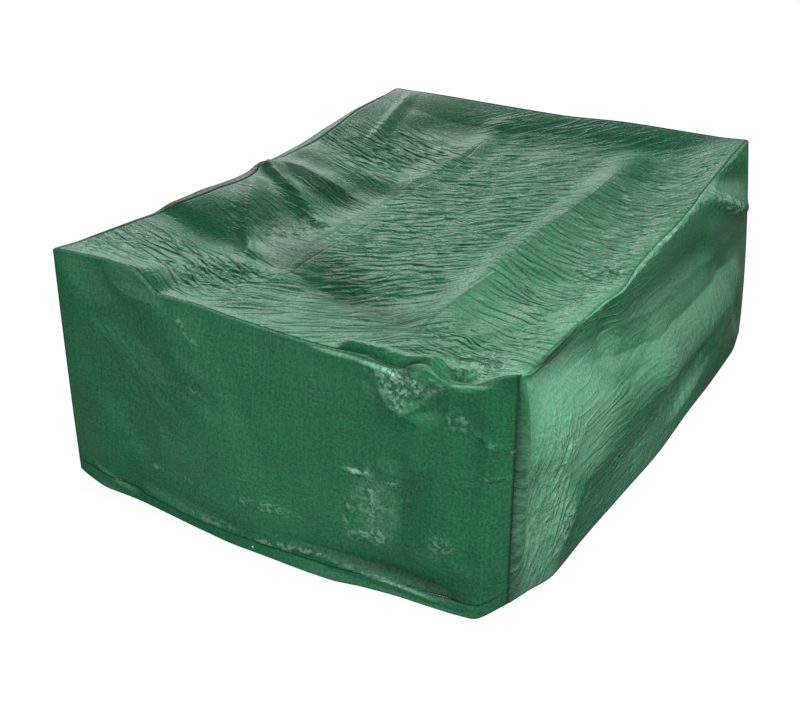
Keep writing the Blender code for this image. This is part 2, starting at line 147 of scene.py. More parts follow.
FRONT_FOLDS = table(
    Fold,
    (0.1, 0.97, 0.52, 0.74, 0.1, -0.014),
    (0.3, 0.98, 0.5, 0.9, 0.09, 0.012),
    (0.06, 0.7, 0.4, 0.34, 0.13, -0.01),
    (0.62, 0.8, 0.98, 0.2, 0.2, 0.014),
    (1.52, 0.88, 1.72, 0.84, 0.09, -0.014),
    (1.66, 0.93, 1.67, 0.6, 0.09, 0.012),
    (1.58, 0.52, 1.64, 0.24, 0.09, 0.01),
    (1.26, 0.19, 1.82, 0.11, 0.1, -0.012),
    (1.88, 0.8, 1.9, 0.25, 0.1, -0.012),
    (0.2, 0.8, 0.8, 0.58, 0.07, -0.005),
    (0.16, 0.9, 0.74, 0.68, 0.06, 0.004),
    (0.26, 0.64, 0.58, 0.38, 0.06, -0.005),
    (0.24, 0.72, 0.66, 0.44, 0.05, 0.003),
)
FRONT_CREASES = table(
    Crease,
    (0.035, 0.03, 1.1, (
        (0.3, 0.08, 0), (0.45, 0.075, 0.005), (0.65, 0.06, 0.007), (0.93, 0.058, 0.005),
        (1.23, 0.085, 0.007), (1.375, 0.07, 0.009), (1.525, 0.055, 0.01), (1.694, 0.045, 0.009),
        (1.85, 0.045, 0.005), (1.95, 0.05, 0))),
    (0.06, 0.035, 1.1, (
        (0.14, 0.08, 0), (0.4, 0.125, -0.003), (0.6, 0.12, -0.005), (0.96, 0.125, -0.004),
        (1.14, 0.13, -0.005), (1.3, 0.125, -0.007), (1.45, 0.115, -0.01), (1.6, 0.1, -0.012),
        (1.7, 0.095, -0.012), (1.8, 0.08, -0.008), (1.86, 0.05, 0))),
    (0.1, 0.02, 1.2, ((1.63, 0.24, 0), (1.7, 0.19, 0.008), (1.79, 0.15, 0.01), (1.86, 0.06, 0))),
    (0.1, 0.03, 1.2, (
        (1.46, 0.9, 0), (1.51, 0.855, 0.012), (1.56, 0.8, 0.016), (1.62, 0.775, 0.016),
        (1.71, 0.84, 0.012), (1.77, 0.93, 0))),
    (0.02, 0.06, 1, (
        (1.2, 0.925, 0), (1.32, 0.925, 0.005), (1.4, 0.93, 0.007), (1.46, 0.928, 0.008),
        (1.53, 0.915, 0.01), (1.6, 0.912, 0.009), (1.66, 0.94, 0.006), (1.7, 0.95, 0))),
    (0.018, 0.05, 1, ((1.77, 0.915, 0), (1.85, 0.922, 0.008), (1.92, 0.95, 0.008), (2, 1, 0))),
    (0.012, 0.1, 1, ((1.64, 0.6, 0), (1.645, 0.5, 0.004), (1.65, 0.28, 0.004), (1.65, 0.16, 0))),
    (0.05, 0.04, 1.2, (
        (0.02, 1.02, 0), (0.2, 0.93, 0.008), (0.36, 0.93, 0.01), (0.5, 0.935, 0.006), (0.56, 0.95, 0))),
    (0.02, 0.05, 1.2, ((1.88, 0.78, 0), (1.94, 0.75, 0.004), (2.02, 0.7, 0))),
    (0.015, 0.04, 1.2, ((0, 0.13, 0), (0.14, 0.07, 0.008), (0.24, 0.045, 0.008), (0.36, 0.02, 0))),
)
FRONT_CRINKLES = table(
    Crinkles,
    (0.1, 0.95, 0.6, 0.45, 0.22, 110, -38, 14, 0.16, 0.016, 0.0012),
    (0.1, 0.5, 1.9, 0.5, 0.42, 260, 88, 16, 0.1, 0.014, 0.0007),
    (1.5, 0.87, 1.76, 0.9, 0.06, 180, 40, 70, 0.035, 0.01, 0.003),
    (0.6, 0.12, 1.7, 0.1, 0.04, 120, -8, 25, 0.05, 0.01, 0.0016),
    (1.45, 0.3, 1.62, 0.5, 0.14, 120, 30, 60, 0.04, 0.011, 0.0014),
    (1.75, 0.2, 1.86, 0.6, 0.1, 70, 60, 50, 0.05, 0.012, 0.0012),
)
# Painted shade: the green is painted darker along these lines, in the corner seams' grooves, at the hem's
# stitch line, in the hollow above the hem, beside the fold edge and under the rolled rim.
FRONT_PAINTED_SHADE = table(
    Crease,
    (0.008, 0.008, 0.7, ((2.038, 0, 0.75), (2.038, 0.5, 0.85), (2.038, 1.04, 0.75))),
    (0.012, 0.012, 0.7, ((0.004, 0, 0.5), (0.004, 1.06, 0.5))),
    (0.007, 0.007, 0.7, ((0.03, 0.056, 0.55), (2.01, 0.056, 0.55))),
    (0.055, 0.035, 0.8, (
        (0.3, 0.1, 0), (0.6, 0.11, 0.2), (1, 0.1, 0.2), (1.35, 0.105, 0.4), (1.55, 0.095, 0.55),
        (1.75, 0.08, 0.6), (1.86, 0.06, 0.4), (1.92, 0.05, 0))),
    (0.13, 0.004, 0.9, ((1.64, 0.62, 0), (1.64, 0.5, 0.26), (1.645, 0.25, 0.3), (1.65, 0.12, 0))),
    (0.014, 0.01, 0.7, (
        (1.22, 0.956, 0), (1.4, 0.952, 0.45), (1.54, 0.948, 0.55), (1.64, 0.956, 0.5), (1.72, 0.968, 0))),
    (0.014, 0.01, 0.7, ((1.74, 0.956, 0), (1.8, 0.952, 0.45), (1.88, 0.958, 0.45), (1.95, 0.985, 0))),
)
# Crinkle and crumple patches, and painted sheen: highlights painted along the rolled rim, on the crumpled
# triangle, beside the fold edge and on the hem.
FRONT_WEAR_AND_SHEEN = patchwork(
    crinkled=[(1.02, 0.5, 1.6, 0.9, 0, 0.1)],
    crossed=[(0.42, 0.66, 0.5, 0.3, -40, 0.3)],
    dusted=[
        (1.02, 0.5, 1.8, 1, 0, 0.06), (1.62, 0.9, 0.16, 0.06, 0, 0.45), (1.6, 0.83, 0.06, 0.05, 0, 0.35),
        (1.34, 0.936, 0.16, 0.011, 1, 1.4), (1.53, 0.926, 0.14, 0.012, -6, 2),
        (1.86, 0.948, 0.11, 0.01, 12, 1.6), (1.45, 0.5, 0.09, 0.014, -4, 0.8),
        (1.54, 0.36, 0.12, 0.23, 0, 0.3), (1.62, 0.048, 0.22, 0.012, -5, 1.2),
        (1.02, 0.3, 0.9, 0.3, 0, 0.12), (0.16, 0.95, 0.22, 0.1, -35, 0.25),
    ],
    # The crumpled patches whiten the film on their facets, partly as painted glints.
    crumpled=[
        (1.62, 0.91, 0.19, 0.045, 0, 1.4), (1.61, 0.87, 0.12, 0.06, 0, 1.3),
        (1.6, 0.82, 0.05, 0.05, 0, 0.9), (1.45, 0.5, 0.07, 0.02, 0, 1.4),
        (1.58, 0.497, 0.07, 0.014, 0, 0.8), (1.52, 0.38, 0.13, 0.14, 0, 0.34),
        (1.5, 0.42, 0.02, 0.15, 4, 0.8), (1.41, 0.33, 0.016, 0.11, -3, 0.7),
        (1.5, 0.235, 0.12, 0.05, 10, 0.7), (1.06, 0.235, 0.2, 0.03, 0, 0.5),
        (1.15, 0.08, 0.22, 0.022, 5, 0.8), (1.52, 0.06, 0.22, 0.018, -8, 0.45),
        (0.8, 0.08, 0.2, 0.025, 0, 0.3), (0.665, 0.865, 0.09, 0.02, -40, 0.6),
        (0.73, 0.618, 0.07, 0.016, -20, 0.45), (1.065, 0.88, 0.025, 0.01, -40, 0.6),
        (1.245, 0.78, 0.018, 0.09, 8, 0.3), (1.97, 0.6, 0.06, 0.012, -5, 0.6),
        (1.96, 0.735, 0.09, 0.016, -27, 0.6), (1.83, 0.8, 0.06, 0.05, 0, 0.6),
        (1.79, 0.285, 0.07, 0.05, 0, 0.6), (0.49, 0.21, 0.04, 0.03, 0, 0.4),
        (0.65, 0.215, 0.05, 0.012, 0, 0.4),
    ],
)


def eased(shares, values):
    """A smooth curve through the values, with no overshoot between two of them."""
    shares = np.array(shares, float)
    values = np.array(values, float)
    widths = np.diff(shares)
    slopes = np.diff(values) / widths
    tangents = np.zeros(len(values))
    for i in range(1, len(values) - 1):
        before, after = slopes[i - 1], slopes[i]
        if before * after > 0.0:
            tangents[i] = 2.0 * before * after / (before + after)
    tangents[0] = slopes[0]
    tangents[-1] = slopes[-1]

    def value(share):
        i = np.clip(np.searchsorted(shares, share) - 1, 0, len(widths) - 1)
        t = (share - shares[i]) / widths[i]
        start = values[i] * (1 + 2 * t) * (1 - t) ** 2 + tangents[i] * widths[i] * t * (1 - t) ** 2
        end = values[i + 1] * t * t * (3 - 2 * t) - tangents[i + 1] * widths[i] * t * t * (1 - t)
        return start + end

    return value


def soft_folds(along, up, folds):
    """The height of the soft folds at flat points: highest along each fold's line, and none at its ends."""
    height = np.zeros(along.shape)
    for fold in folds:
        line = np.array((fold.along_1 - fold.along_0, fold.up_1 - fold.up_0))
        length = np.linalg.norm(line)
        right, above = along - fold.along_0, up - fold.up_0
        reach = (right * line[0] + above * line[1]) / length
        beyond = np.maximum(0.0, np.maximum(-reach, reach - length))
        across = (line[0] * above - line[1] * right) / length
        distance = np.minimum(1.0, np.hypot(across, beyond) / fold.half_width)
        height += fold.height * 0.5 * (1.0 + np.cos(np.pi * distance))
    return height


def creases(along, up, rows):
    """The height of the sharper creases: a height at each point, and a width of its own on either side."""
    height = np.zeros(along.shape)
    for row in rows:
        points = np.array(row.points)
        nearest = np.full(along.shape, np.inf)
        top = np.zeros(along.shape)
        for start, end in zip(points, points[1:]):
            length = np.linalg.norm(end[:2] - start[:2])
            way = (end[:2] - start[:2]) / length
            right, above = along - start[0], up - start[1]
            reach = np.clip(right * way[0] + above * way[1], 0.0, length)
            left_side = way[0] * above - way[1] * right > 0.0
            distance = np.hypot(right - reach * way[0], above - reach * way[1])
            distance = distance / np.where(left_side, row.left, row.right)
            closer = distance < nearest
            nearest = np.where(closer, distance, nearest)
            top = np.where(closer, start[2] + (end[2] - start[2]) * reach / length, top)
        height += top * np.maximum(0.0, 1.0 - nearest) ** row.crest
    return height


# Each crinkle's share of its row's length, width and height, from the least to the most.
LENGTHS = (0.5, 1.5)
WIDTHS = (0.7, 1.4)
HEIGHTS = (0.4, 1.6)
RIDGES_AND_DENTS = (1.0, 1.0, -1.0)
BOW = 0.25
STEPS = 0.4
STEP_SLOPE = 3.0
MARGIN = 0.06


def crinkles(along, up, rows, dice):
    """The height of many small creases strewn along each row's line, out to its reach.

    Each is a ridge, a dent or a step, bowed a little, with a length, width and height of its own.
    """
    height = np.zeros(along.shape)
    columns = along.mean(axis=0)
    levels = up.mean(axis=1)
    for row in rows:
        start = np.array((row.along_0, row.up_0))
        line = np.array((row.along_1, row.up_1)) - start
        aside = np.array((-line[1], line[0])) / np.linalg.norm(line)
        for _ in range(row.count):
            shift = row.reach * (dice.random() + dice.random() - 1.0)
            middle = start + line * dice.random() + aside * shift
            angle = math.radians(row.angle + row.spread * dice.normal())
            half_length = 0.5 * row.length * dice.uniform(*LENGTHS)
            half_width = row.half_width * dice.uniform(*WIDTHS)
            top = row.height * dice.uniform(*HEIGHTS) * dice.choice(RIDGES_AND_DENTS)
            bow = BOW * half_length * dice.normal()
            step = dice.random() < STEPS
            size = half_length + half_width + abs(bow) + MARGIN
            i_0, i_1 = np.searchsorted(columns, (middle[0] - size, middle[0] + size))
            j_0, j_1 = np.searchsorted(levels, (middle[1] - size, middle[1] + size))
            right = along[j_0:j_1, i_0:i_1] - middle[0]
            above = up[j_0:j_1, i_0:i_1] - middle[1]
            place = (right * math.cos(angle) + above * math.sin(angle)) / half_length
            across = above * math.cos(angle) - right * math.sin(angle) - bow * place * place
            near = np.maximum(0.0, 1.0 - np.abs(across) / half_width)
            shape = near * near * (STEP_SLOPE * across / half_width if step else 1.0)
            height[j_0:j_1, i_0:i_1] += top * shape * np.maximum(0.0, 1.0 - place * place) ** 2
    return height


PATCH_RIM = 0.6


def patches(along, up, rows):
    """How strongly the patches cover the sheet: a patch's strength in its middle, and nothing past its rim.
    """
    share = np.zeros(along.shape)
    for row in rows:
        turn = math.radians(row.turn)
        right, above = along - row.along, up - row.up
        near = np.hypot((right * math.cos(turn) + above * math.sin(turn)) / row.half_along,
                        (above * math.cos(turn) - right * math.sin(turn)) / row.half_up)
        t = np.clip((1.0 - near) / PATCH_RIM, 0.0, 1.0)
        share = np.maximum(share, row.strength * t * t * (3.0 - 2.0 * t))
    return share


def dusted(points, facing, least, most):
    """Painted sheen by how the film faces: none where it faces the direction least, and full where it faces
    it most.
    """
    normals = np.cross(np.gradient(points, axis=1), np.gradient(points, axis=0))
    normals /= np.maximum(np.linalg.norm(normals, axis=-1, keepdims=True), 1e-12)
    way = np.array(facing) / np.linalg.norm(facing)
    return np.clip((normals @ way - least) / (most - least), 0.0, 1.0)


class Hang:
    """How one side panel hangs, from the hem on the ground to the seam along the rim."""

    def __init__(self, first, last, rim, hem, folds, seam_hold=0.85):
        self.start = np.array((first.x, first.y))
        line = np.array((last.x, last.y)) - self.start
        self.length = float(np.linalg.norm(line))
        self.way = line / self.length
        self.outward = np.array((self.way[1], -self.way[0]))
        self.folds = folds
        self.seam_hold = seam_hold
        rim_ends = [Rim(0.0, 0.0, first.height, CORNER_ROLL), Rim(1.0, 0.0, last.height, CORNER_ROLL)]
        hem_ends = [Hem(0.0, *self.foot(first), 0.0), Hem(1.0, *self.foot(last), 0.0)]
        self.rim = self.curves([rim_ends[0], *rim, rim_ends[1]])
        self.hem = self.curves([hem_ends[0], *hem, hem_ends[1]])

    def curves(self, rows):
        """A smooth curve along the panel for each column of the rows."""
        shares = [row.share for row in rows]
        return {name: eased(shares, [getattr(row, name) for row in rows]) for name in rows[0]._fields[1:]}

    def foot(self, corner):
        """Where a corner stands on the ground: along the panel, and out from it."""
        offset = np.array((corner.foot_x, corner.foot_y)) - self.start
        return float(offset @ self.way), float(offset @ self.outward)

    def shoulder(self, share):
        """The height at which the rounded edge of the rim starts."""
        return self.rim["height"](share) - np.maximum(ROLL_DROP * self.rim["roll"](share), LEAST_DROP)

    def on_panel(self, share, up):
        """Along, out and the height of the soft folds, at a height below the rounded edge."""
        flare = 1.0 - (up / self.shoulder(share)) ** FLARE_POWER
        rim_along = share * self.length
        along = rim_along + (self.hem["along"](share) - rim_along) * flare
        rim_out = self.rim["out"](share)
        out = rim_out + (self.hem["out"](share) - rim_out) * flare
        rise = np.clip((up - HEM) / (KICK_REACH - HEM), 0.0, 1.0)
        kick = np.where(up < HEM, up / HEM, 0.5 * (1.0 + np.cos(np.pi * rise)))
        out = out - self.hem["kick"](share) * kick
        ends = np.minimum(1.0, np.minimum(share, 1.0 - share) / FOLDS_START)
        return along, out, soft_folds(along, up, self.folds) * ends

    def on_roll(self, share, turn):
        """Along, out and height of the rounded edge: turn 0 is its outer side, and turn 1 is the seam."""
        roll = self.rim["roll"](share)
        inward = roll * (1.0 - np.cos(turn * np.pi / 2))
        base = self.shoulder(share)
        up = base + (self.rim["height"](share) - base) * np.sin(turn * np.pi / 2)
        along = share * self.length + (1.0 - 2.0 * share) * inward
        return along, self.rim["out"](share) - inward, up

    def world(self, along, out, up):
        plan = self.start + self.way * along[..., None] + self.outward * out[..., None]
        return np.concatenate((plan, (up + 0.0 * along)[..., None]), axis=-1)

    def seam(self, share):
        return self.world(*self.on_roll(share, 1.0))


def curl(distance, reach):
    """How far an edge has turned in at a distance from it."""
    inner = np.clip(reach - distance, 0.0, reach)
    return reach - np.sqrt(reach * reach - inner * inner)


def shares_across(length, count, trim):
    """Even shares of a length between its trimmed ends, with closer ones there for the turned edges."""
    near = trim + np.array(EDGE_STEPS)
    middle = np.linspace(near[-1], length - near[-1], count)[1:-1]
    places = np.concatenate((near, middle, length - near[::-1])) / length
    return np.concatenate((places[:1].repeat(len(TUCKS)), places, places[-1:].repeat(len(TUCKS))))


def tucks_across(count):
    return np.concatenate((TUCKS[::-1], np.zeros(count - 2 * len(TUCKS)), TUCKS))


def side_points(hang, columns, lowest, rises, turns, trim, sharp, small, wear_and_light, painted_shades, dust, dice):
    """A side panel's points, row by row, with their flat places, crinkle and crumple patches, and painted
    shade and sheen.

    With no turns over the rim it is a hem strip, which ends just below the stitch line.
    """
    share = shares_across(hang.length, columns, trim)[None, :]
    tucked = tucks_across(share.size)[None, :]
    over = len(TUCKS) if turns else 0
    rise = np.concatenate((np.linspace(0.0, 1.0, rises), np.ones(turns + over)))[:, None]
    turn = np.concatenate((np.zeros(rises), np.linspace(0.0, 1.0, turns + 1)[1:], np.ones(over)))[:, None]
    tuck = np.concatenate((np.zeros(rises + turns), TUCKS[:over]))[:, None]
    highest = hang.shoulder(share) if turns else HEM - GAP
    panel_up = lowest + rise * (highest - lowest)
    along, out, folds = hang.on_panel(share, panel_up)
    roll_along, roll_out, roll_up = hang.on_roll(share, turn)
    rolled = turn > 0.0
    along = np.where(rolled, roll_along, along)
    out = np.where(rolled, roll_out, out)
    up = np.where(rolled, roll_up, panel_up)
    flat_up = up + turn * hang.rim["roll"](share)
    relief = folds + creases(along, flat_up, sharp) + crinkles(along, flat_up, small, dice)
    edge = hang.length * np.minimum(share, 1.0 - share) - trim
    relief = relief * np.clip(edge / FADE, 0.0, 1.0) * np.clip(flat_up / FADE, 0.0, 1.0)
    if hang is front:
        from_eyelet = np.hypot(along - EYELET_ALONG, flat_up - EYELET_UP)
        relief = relief * np.clip(from_eyelet / EYELET_FLAT - 1.0, 0.0, 1.0)
    relief = relief * (1.0 - hang.seam_hold * turn)
    relief = relief - curl(edge, EDGE_CURL) - tucked
    lean = np.cos(turn * np.pi / 2)
    out = out + relief * lean - TUCK_INWARD * tuck
    up = up + np.where(rolled, relief, 0.0) * (1.0 - lean) - tuck
    flat = np.stack(np.broadcast_arrays(share * hang.length, flat_up + tuck), axis=-1)
    worn_and_lit = {name: patches(along, flat_up, rows) for name, rows in wear_and_light.items()}
    # Painted shade: the green is painted darker along the listed shade lines.
    worn_and_lit["painted_shade"] = creases(flat[..., 0], flat_up + 0.0 * along, painted_shades)
    points = hang.world(along, out, up)
    # Painted sheen: paler where the cloth faces upwards, as if lit from above, but not where shade is
    # painted.
    facing_sheen = dust * dusted(points, (0.0, 0.0, 1.0), UP_SHEEN_LEAST, UP_SHEEN_MOST)
    worn_and_lit["dusted"] = np.maximum(worn_and_lit["dusted"], facing_sheen * (1.0 - worn_and_lit["painted_shade"]))
    return points, flat, worn_and_lit


def sheet_object(name, points, flat, worn_and_lit, material):
    """A grid of faces through the points, with its thickness on the inside.

    A new grid's points run along its first row, then along the next, and so on.
    """
    rows, columns = points.shape[:2]
    bpy.ops.object.select_all(action="DESELECT")
    bpy.ops.mesh.primitive_grid_add(x_subdivisions=columns - 1, y_subdivisions=rows - 1, size=2.0)
    item = bpy.context.object
    item.name = name
    mesh = item.data
    mesh.name = name
    mesh.vertices.foreach_set("co", points.ravel())
    corners = np.empty(len(mesh.loops), int)
    mesh.loops.foreach_get("vertex_index", corners)
    layer = mesh.uv_layers.active
    layer.name = "cloth"
    layer.data.foreach_set("uv", flat.reshape(-1, 2)[corners].ravel())
    for wear_and_light, strength in worn_and_lit.items():
        mesh.attributes.new(wear_and_light, "FLOAT", "POINT").data.foreach_set("value", strength.ravel())
    mesh.materials.append(material)
    solidify = item.modifiers.new("sheet", "SOLIDIFY")
    solidify.thickness = SHEET
    solidify.offset = -1.0
    bpy.ops.object.modifier_apply(modifier=solidify.name)
    mesh.shade_smooth()
    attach(item, "root")
    return item


class Socket:
    """A value that varies over a surface, as an output of a material's nodes."""

    def __init__(self, finish, out):
        self.finish = finish
        self.out = out

    def maths(self, operation, first, second=None):
        values = [first] if second is None else [first, second]
        return self.finish.node("ShaderNodeMath", {"operation": operation}, dict(enumerate(values)))

    def __add__(self, other):
        return self.maths("ADD", self, other)

    def __radd__(self, other):
        return self.maths("ADD", other, self)

    def __sub__(self, other):
        return self.maths("SUBTRACT", self, other)

    def __rsub__(self, other):
        return self.maths("SUBTRACT", other, self)

    def __mul__(self, other):
        return self.maths("MULTIPLY", self, other)

    def __rmul__(self, other):
        return self.maths("MULTIPLY", other, self)

    def __pow__(self, other):
        return self.maths("POWER", self, other)

    def __abs__(self):
        return self.maths("ABSOLUTE", self)


class Finish:
    """A material, or the world's light, whose nodes are written as expressions."""

    def __init__(self, holder, shader, constants):
        holder.use_nodes = True
        self.material = holder
        self.tree = holder.node_tree
        self.shader = self.tree.nodes[shader]
        for socket, value in constants.items():
            self.shader.inputs[socket].default_value = value

    def node(self, kind, settings, sockets, output=0):
        """Adds a node with its settings, and returns one of its outputs."""
        node = self.tree.nodes.new(kind)
        for name, value in settings.items():
            setattr(node, name, value)
        for name, value in sockets.items():
            if isinstance(value, Socket):
                self.tree.links.new(value.out, node.inputs[name])
            else:
                node.inputs[name].default_value = value
        return Socket(self, node.outputs[output])

    def vector(self, operation, values, output="Vector"):
        return self.node("ShaderNodeVectorMath", {"operation": operation}, values, output)

    def part(self, vector, axis):
        return self.node("ShaderNodeSeparateXYZ", {}, {"Vector": vector}, axis)

    def ramp(self, value, low, high, at_low=0.0, at_high=1.0, kind="SMOOTHSTEP"):
        """Goes from at_low to at_high as the value goes from low to high."""
        return self.node("ShaderNodeMapRange", {"interpolation_type": kind}, {
            "Value": value, "From Min": low, "From Max": high, "To Min": at_low, "To Max": at_high})

    def feed(self, socket, value):
        self.tree.links.new(value.out, self.shader.inputs[socket])


FILM_GREEN = (0.0135, 0.131, 0.0545)
# The pale of whitened crumples, and of painted sheen, glints and lit crests.
SCUFF_AND_SHEEN_PALE = (0.12, 0.165, 0.14)
FILM_IOR = 1.38
FILM_ROUGHNESS = 0.22
MOTTLED_ROUGHNESS = 0.1
# The sizes of the patterns: a stroke's length and width, and cells to the metre.
TAPE = 0.0025
TAPE_STROKE = (0.25, 0.009)
MOTTLE_STROKE = (0.2, 0.2)
GRAIN_STROKE = (0.011, 0.011)
CRINKLE_STROKE = (0.26, 0.048)
CROSSING_STROKE = (0.24, 0.046)
SHARPNESS = 4.0
FAN_NEAR = 0.5
FAN_FAR = 0.9
JITTER = 0.03
JITTER_CELLS = 40.0
CRUMPLE_CELLS = 26.0
FINE_CELLS = 60.0
FINE_SHARE = 0.3
FACET_CELLS = 62.0
LINE_END = 0.1
# How high each pattern stands, how much it lightens the green, and how much pale it adds. The crest tone and
# crest pale are painted light on the crinkles' crests, and the second pale part is painted sheen.
BUMPS = {"crinkle": 0.013, "crumple": 0.014, "grain": 0.0026, "weave": 0.00005}
TONES = {"least": 0.24, "mottling": 0.4, "tapes": 0.4, "grain": 0.42, "crest": 0.62}
# Of the pale, the crumple part whitens crumpled film and is partly painted glints.
SCUFFS_AND_SHEEN = {"crumple": 1.2, "dust": 0.7, "crest": 0.5}
# The green's tone is scaled by the first of these plus the second times the painted sheen.
SHEENLESS_TONE = 0.85
SHEEN_TONE = 0.4


def woven_sheet(name, crinkle_turn, cross_turn, depth, lee, fan_corner=None, fold_lines=()):
    """Green film on a weave of flat tapes, crinkled one way and across it, crumpled and scuffed in patches,
    with painted shade and painted sheen.

    Depth is how strong the crinkles are, and lee is the step from a crest to the side painted darker beside
    it.
    """
    finish = Finish(bpy.data.materials.new(name), "Principled BSDF", {"IOR": FILM_IOR})
    flat = finish.node("ShaderNodeUVMap", {"uv_map": "cloth"}, {})
    across = finish.part(flat, "X")
    up = finish.part(flat, "Y")
    wear_and_light = {key: finish.node("ShaderNodeAttribute", {"attribute_name": key}, {}, "Fac")
            for key in ("crinkled", "crossed", "crumpled", "painted_shade", "dusted")}

    def strokes(vector, turn, stroke, shift=0.0):
        """Places for a pattern drawn out into strokes of a length and width, turned by an angle."""
        return finish.node("ShaderNodeMapping", {"vector_type": "TEXTURE"}, {
            "Vector": vector, "Location": (shift, shift, 0.0), "Rotation": (0.0, 0.0, math.radians(turn)),
            "Scale": (*stroke, 1.0)})

    def noise(vector, detail, distortion=0.0):
        return finish.node("ShaderNodeTexNoise", {"noise_dimensions": "2D"}, {
            "Vector": vector, "Scale": 1.0, "Detail": detail, "Roughness": 0.5, "Distortion": distortion})

    def crests(vector):
        """Sharp ridges with flat cloth between them."""
        return (1.0 - abs(2.0 * noise(vector, detail=1.5, distortion=0.35) - 1.0)) ** SHARPNESS

    def cells(vector, scale, output="Distance"):
        return finish.node("ShaderNodeTexVoronoi", {"voronoi_dimensions": "2D"}, {
            "Vector": vector, "Scale": scale}, output)

    def wave(place):
        return place.maths("SINE", place * (math.pi / TAPE))

    mottling = noise(strokes(flat, 0.0, MOTTLE_STROKE, shift=11.0), detail=4.0)

    def creased_at(shift):
        """The fine crinkles, seen from a step aside. With a fan corner they run out from it."""
        place = finish.vector("ADD", {0: flat, 1: (*shift, 0.0)})
        grain = place
        if fan_corner:
            spoke = finish.vector("SUBTRACT", {0: place, 1: (*fan_corner, 0.0)})
            radius = finish.vector("LENGTH", {0: spoke}, "Value")
            turned = radius.maths("ARCTAN2", finish.part(spoke, "Y"), 0.0 - finish.part(spoke, "X"))
            grain = finish.node("ShaderNodeCombineXYZ", {}, {
                "X": radius, "Y": turned * (FAN_NEAR + FAN_FAR * radius)})
        crinkle = crests(strokes(grain, crinkle_turn, CRINKLE_STROKE))
        crossing = crests(strokes(place, cross_turn, CROSSING_STROKE, shift=3.0))
        creased = crinkle * wear_and_light["crinkled"] + crossing * wear_and_light["crossed"]
        return creased * finish.ramp(mottling, 0.25, 0.75, at_low=0.5, at_high=1.5)

    creased = creased_at((0.0, 0.0))
    # Painted light and shade: the crinkles minus a copy stepped towards the lee, so crests come out lighter
    # and their lee sides darker.
    crest_light_and_shade = creased - creased_at(lee)
    film = noise(strokes(flat, 0.0, GRAIN_STROKE, shift=9.0), detail=5.0)
    jitter = finish.node("ShaderNodeTexNoise", {"noise_dimensions": "2D"}, {
        "Vector": flat, "Scale": JITTER_CELLS}, "Color")
    jittered = finish.vector("MULTIPLY_ADD", {0: jitter, 1: (JITTER, JITTER, 0.0), 2: flat})
    crumple = cells(jittered, CRUMPLE_CELLS) + FINE_SHARE * cells(jittered, FINE_CELLS)
    facet = finish.part(cells(jittered, FACET_CELLS, "Color"), "X")

    height = BUMPS["crinkle"] * depth * creased + BUMPS["crumple"] * crumple * wear_and_light["crumpled"]
    height = height + BUMPS["grain"] * film + BUMPS["weave"] * (wave(across) * wave(up))
    for line in fold_lines:
        distance = abs(across - (line.at + line.lean * up))
        half_length = 0.5 * (line.high - line.low)
        reach = abs(up - 0.5 * (line.low + line.high))
        shown = finish.ramp(reach, half_length - LINE_END, half_length, 1.0, 0.0)
        height = height + shown * finish.ramp(distance, 0.0, line.half_width, line.height, 0.0, "LINEAR")
    bump = finish.node("ShaderNodeBump", {}, {"Strength": 1.0, "Distance": 1.0, "Height": height})
    finish.feed("Normal", bump)

    tapes = noise(strokes(flat, 0.0, TAPE_STROKE), detail=2.0)
    tapes = tapes + noise(strokes(flat, 90.0, TAPE_STROKE, shift=2.0), detail=2.0)
    tone = TONES["least"] + TONES["mottling"] * mottling + TONES["tapes"] * tapes
    tone = tone + finish.ramp(film, 0.34, 0.66, 0.0, TONES["grain"]) + TONES["crest"] * depth * crest_light_and_shade
    # Painted shade darkens the green, and painted sheen lightens it.
    tone = tone * (1.0 - wear_and_light["painted_shade"]) * (SHEENLESS_TONE + SHEEN_TONE * wear_and_light["dusted"])
    # The pale is whitening on crumples, partly painted glints, plus painted sheen, plus painted highlights on
    # the crests.
    scuffs_and_sheen = wear_and_light["crumpled"] * finish.ramp(facet * (0.5 + film), 0.4, 0.85, 0.0, SCUFFS_AND_SHEEN["crumple"])
    scuffs_and_sheen = scuffs_and_sheen + SCUFFS_AND_SHEEN["dust"] * wear_and_light["dusted"] * (0.6 + 0.8 * film)
    scuffs_and_sheen = scuffs_and_sheen + finish.ramp(crest_light_and_shade, 0.15, 0.8, 0.0, SCUFFS_AND_SHEEN["crest"])
    green = finish.vector("SCALE", {0: FILM_GREEN, "Scale": tone})
    pale = finish.vector("SCALE", {0: SCUFF_AND_SHEEN_PALE, "Scale": scuffs_and_sheen})
    finish.feed("Base Color", finish.vector("ADD", {0: green, 1: pale}))
    finish.feed("Roughness", FILM_ROUGHNESS + MOTTLED_ROUGHNESS * mottling)
    return finish.material


front = Hang(
    CORNERS["front_left"], CORNERS["front_right"], FRONT_RIM, FRONT_HEM, FRONT_FOLDS, seam_hold=0.3)
front_cloth = woven_sheet(
    "woven_sheet_front", crinkle_turn=90.0, cross_turn=-38.0, depth=1.0, lee=(0.0, 0.007))
front_detail = {"columns": 278, "trim": 0.0, "sharp": FRONT_CREASES, "small": FRONT_CRINKLES,
                "wear_and_light": FRONT_WEAR_AND_SHEEN, "painted_shades": FRONT_PAINTED_SHADE, "dust": 0.6}
points, flat, worn_and_lit = side_points(
    front, lowest=HEM, rises=140, turns=8, dice=np.random.default_rng(1), **front_detail)
front_panel = sheet_object("front_sheet", points, flat, worn_and_lit, front_cloth)
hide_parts("front_panel")


# Front hem: the lowest strip of the front panel, turned up and stitched, 55 mm high.
# It lies on the ground all along, and carries the one eyelet in its middle.

EYELET_HOLE = 0.0065
PUNCH_LENGTH = 0.03

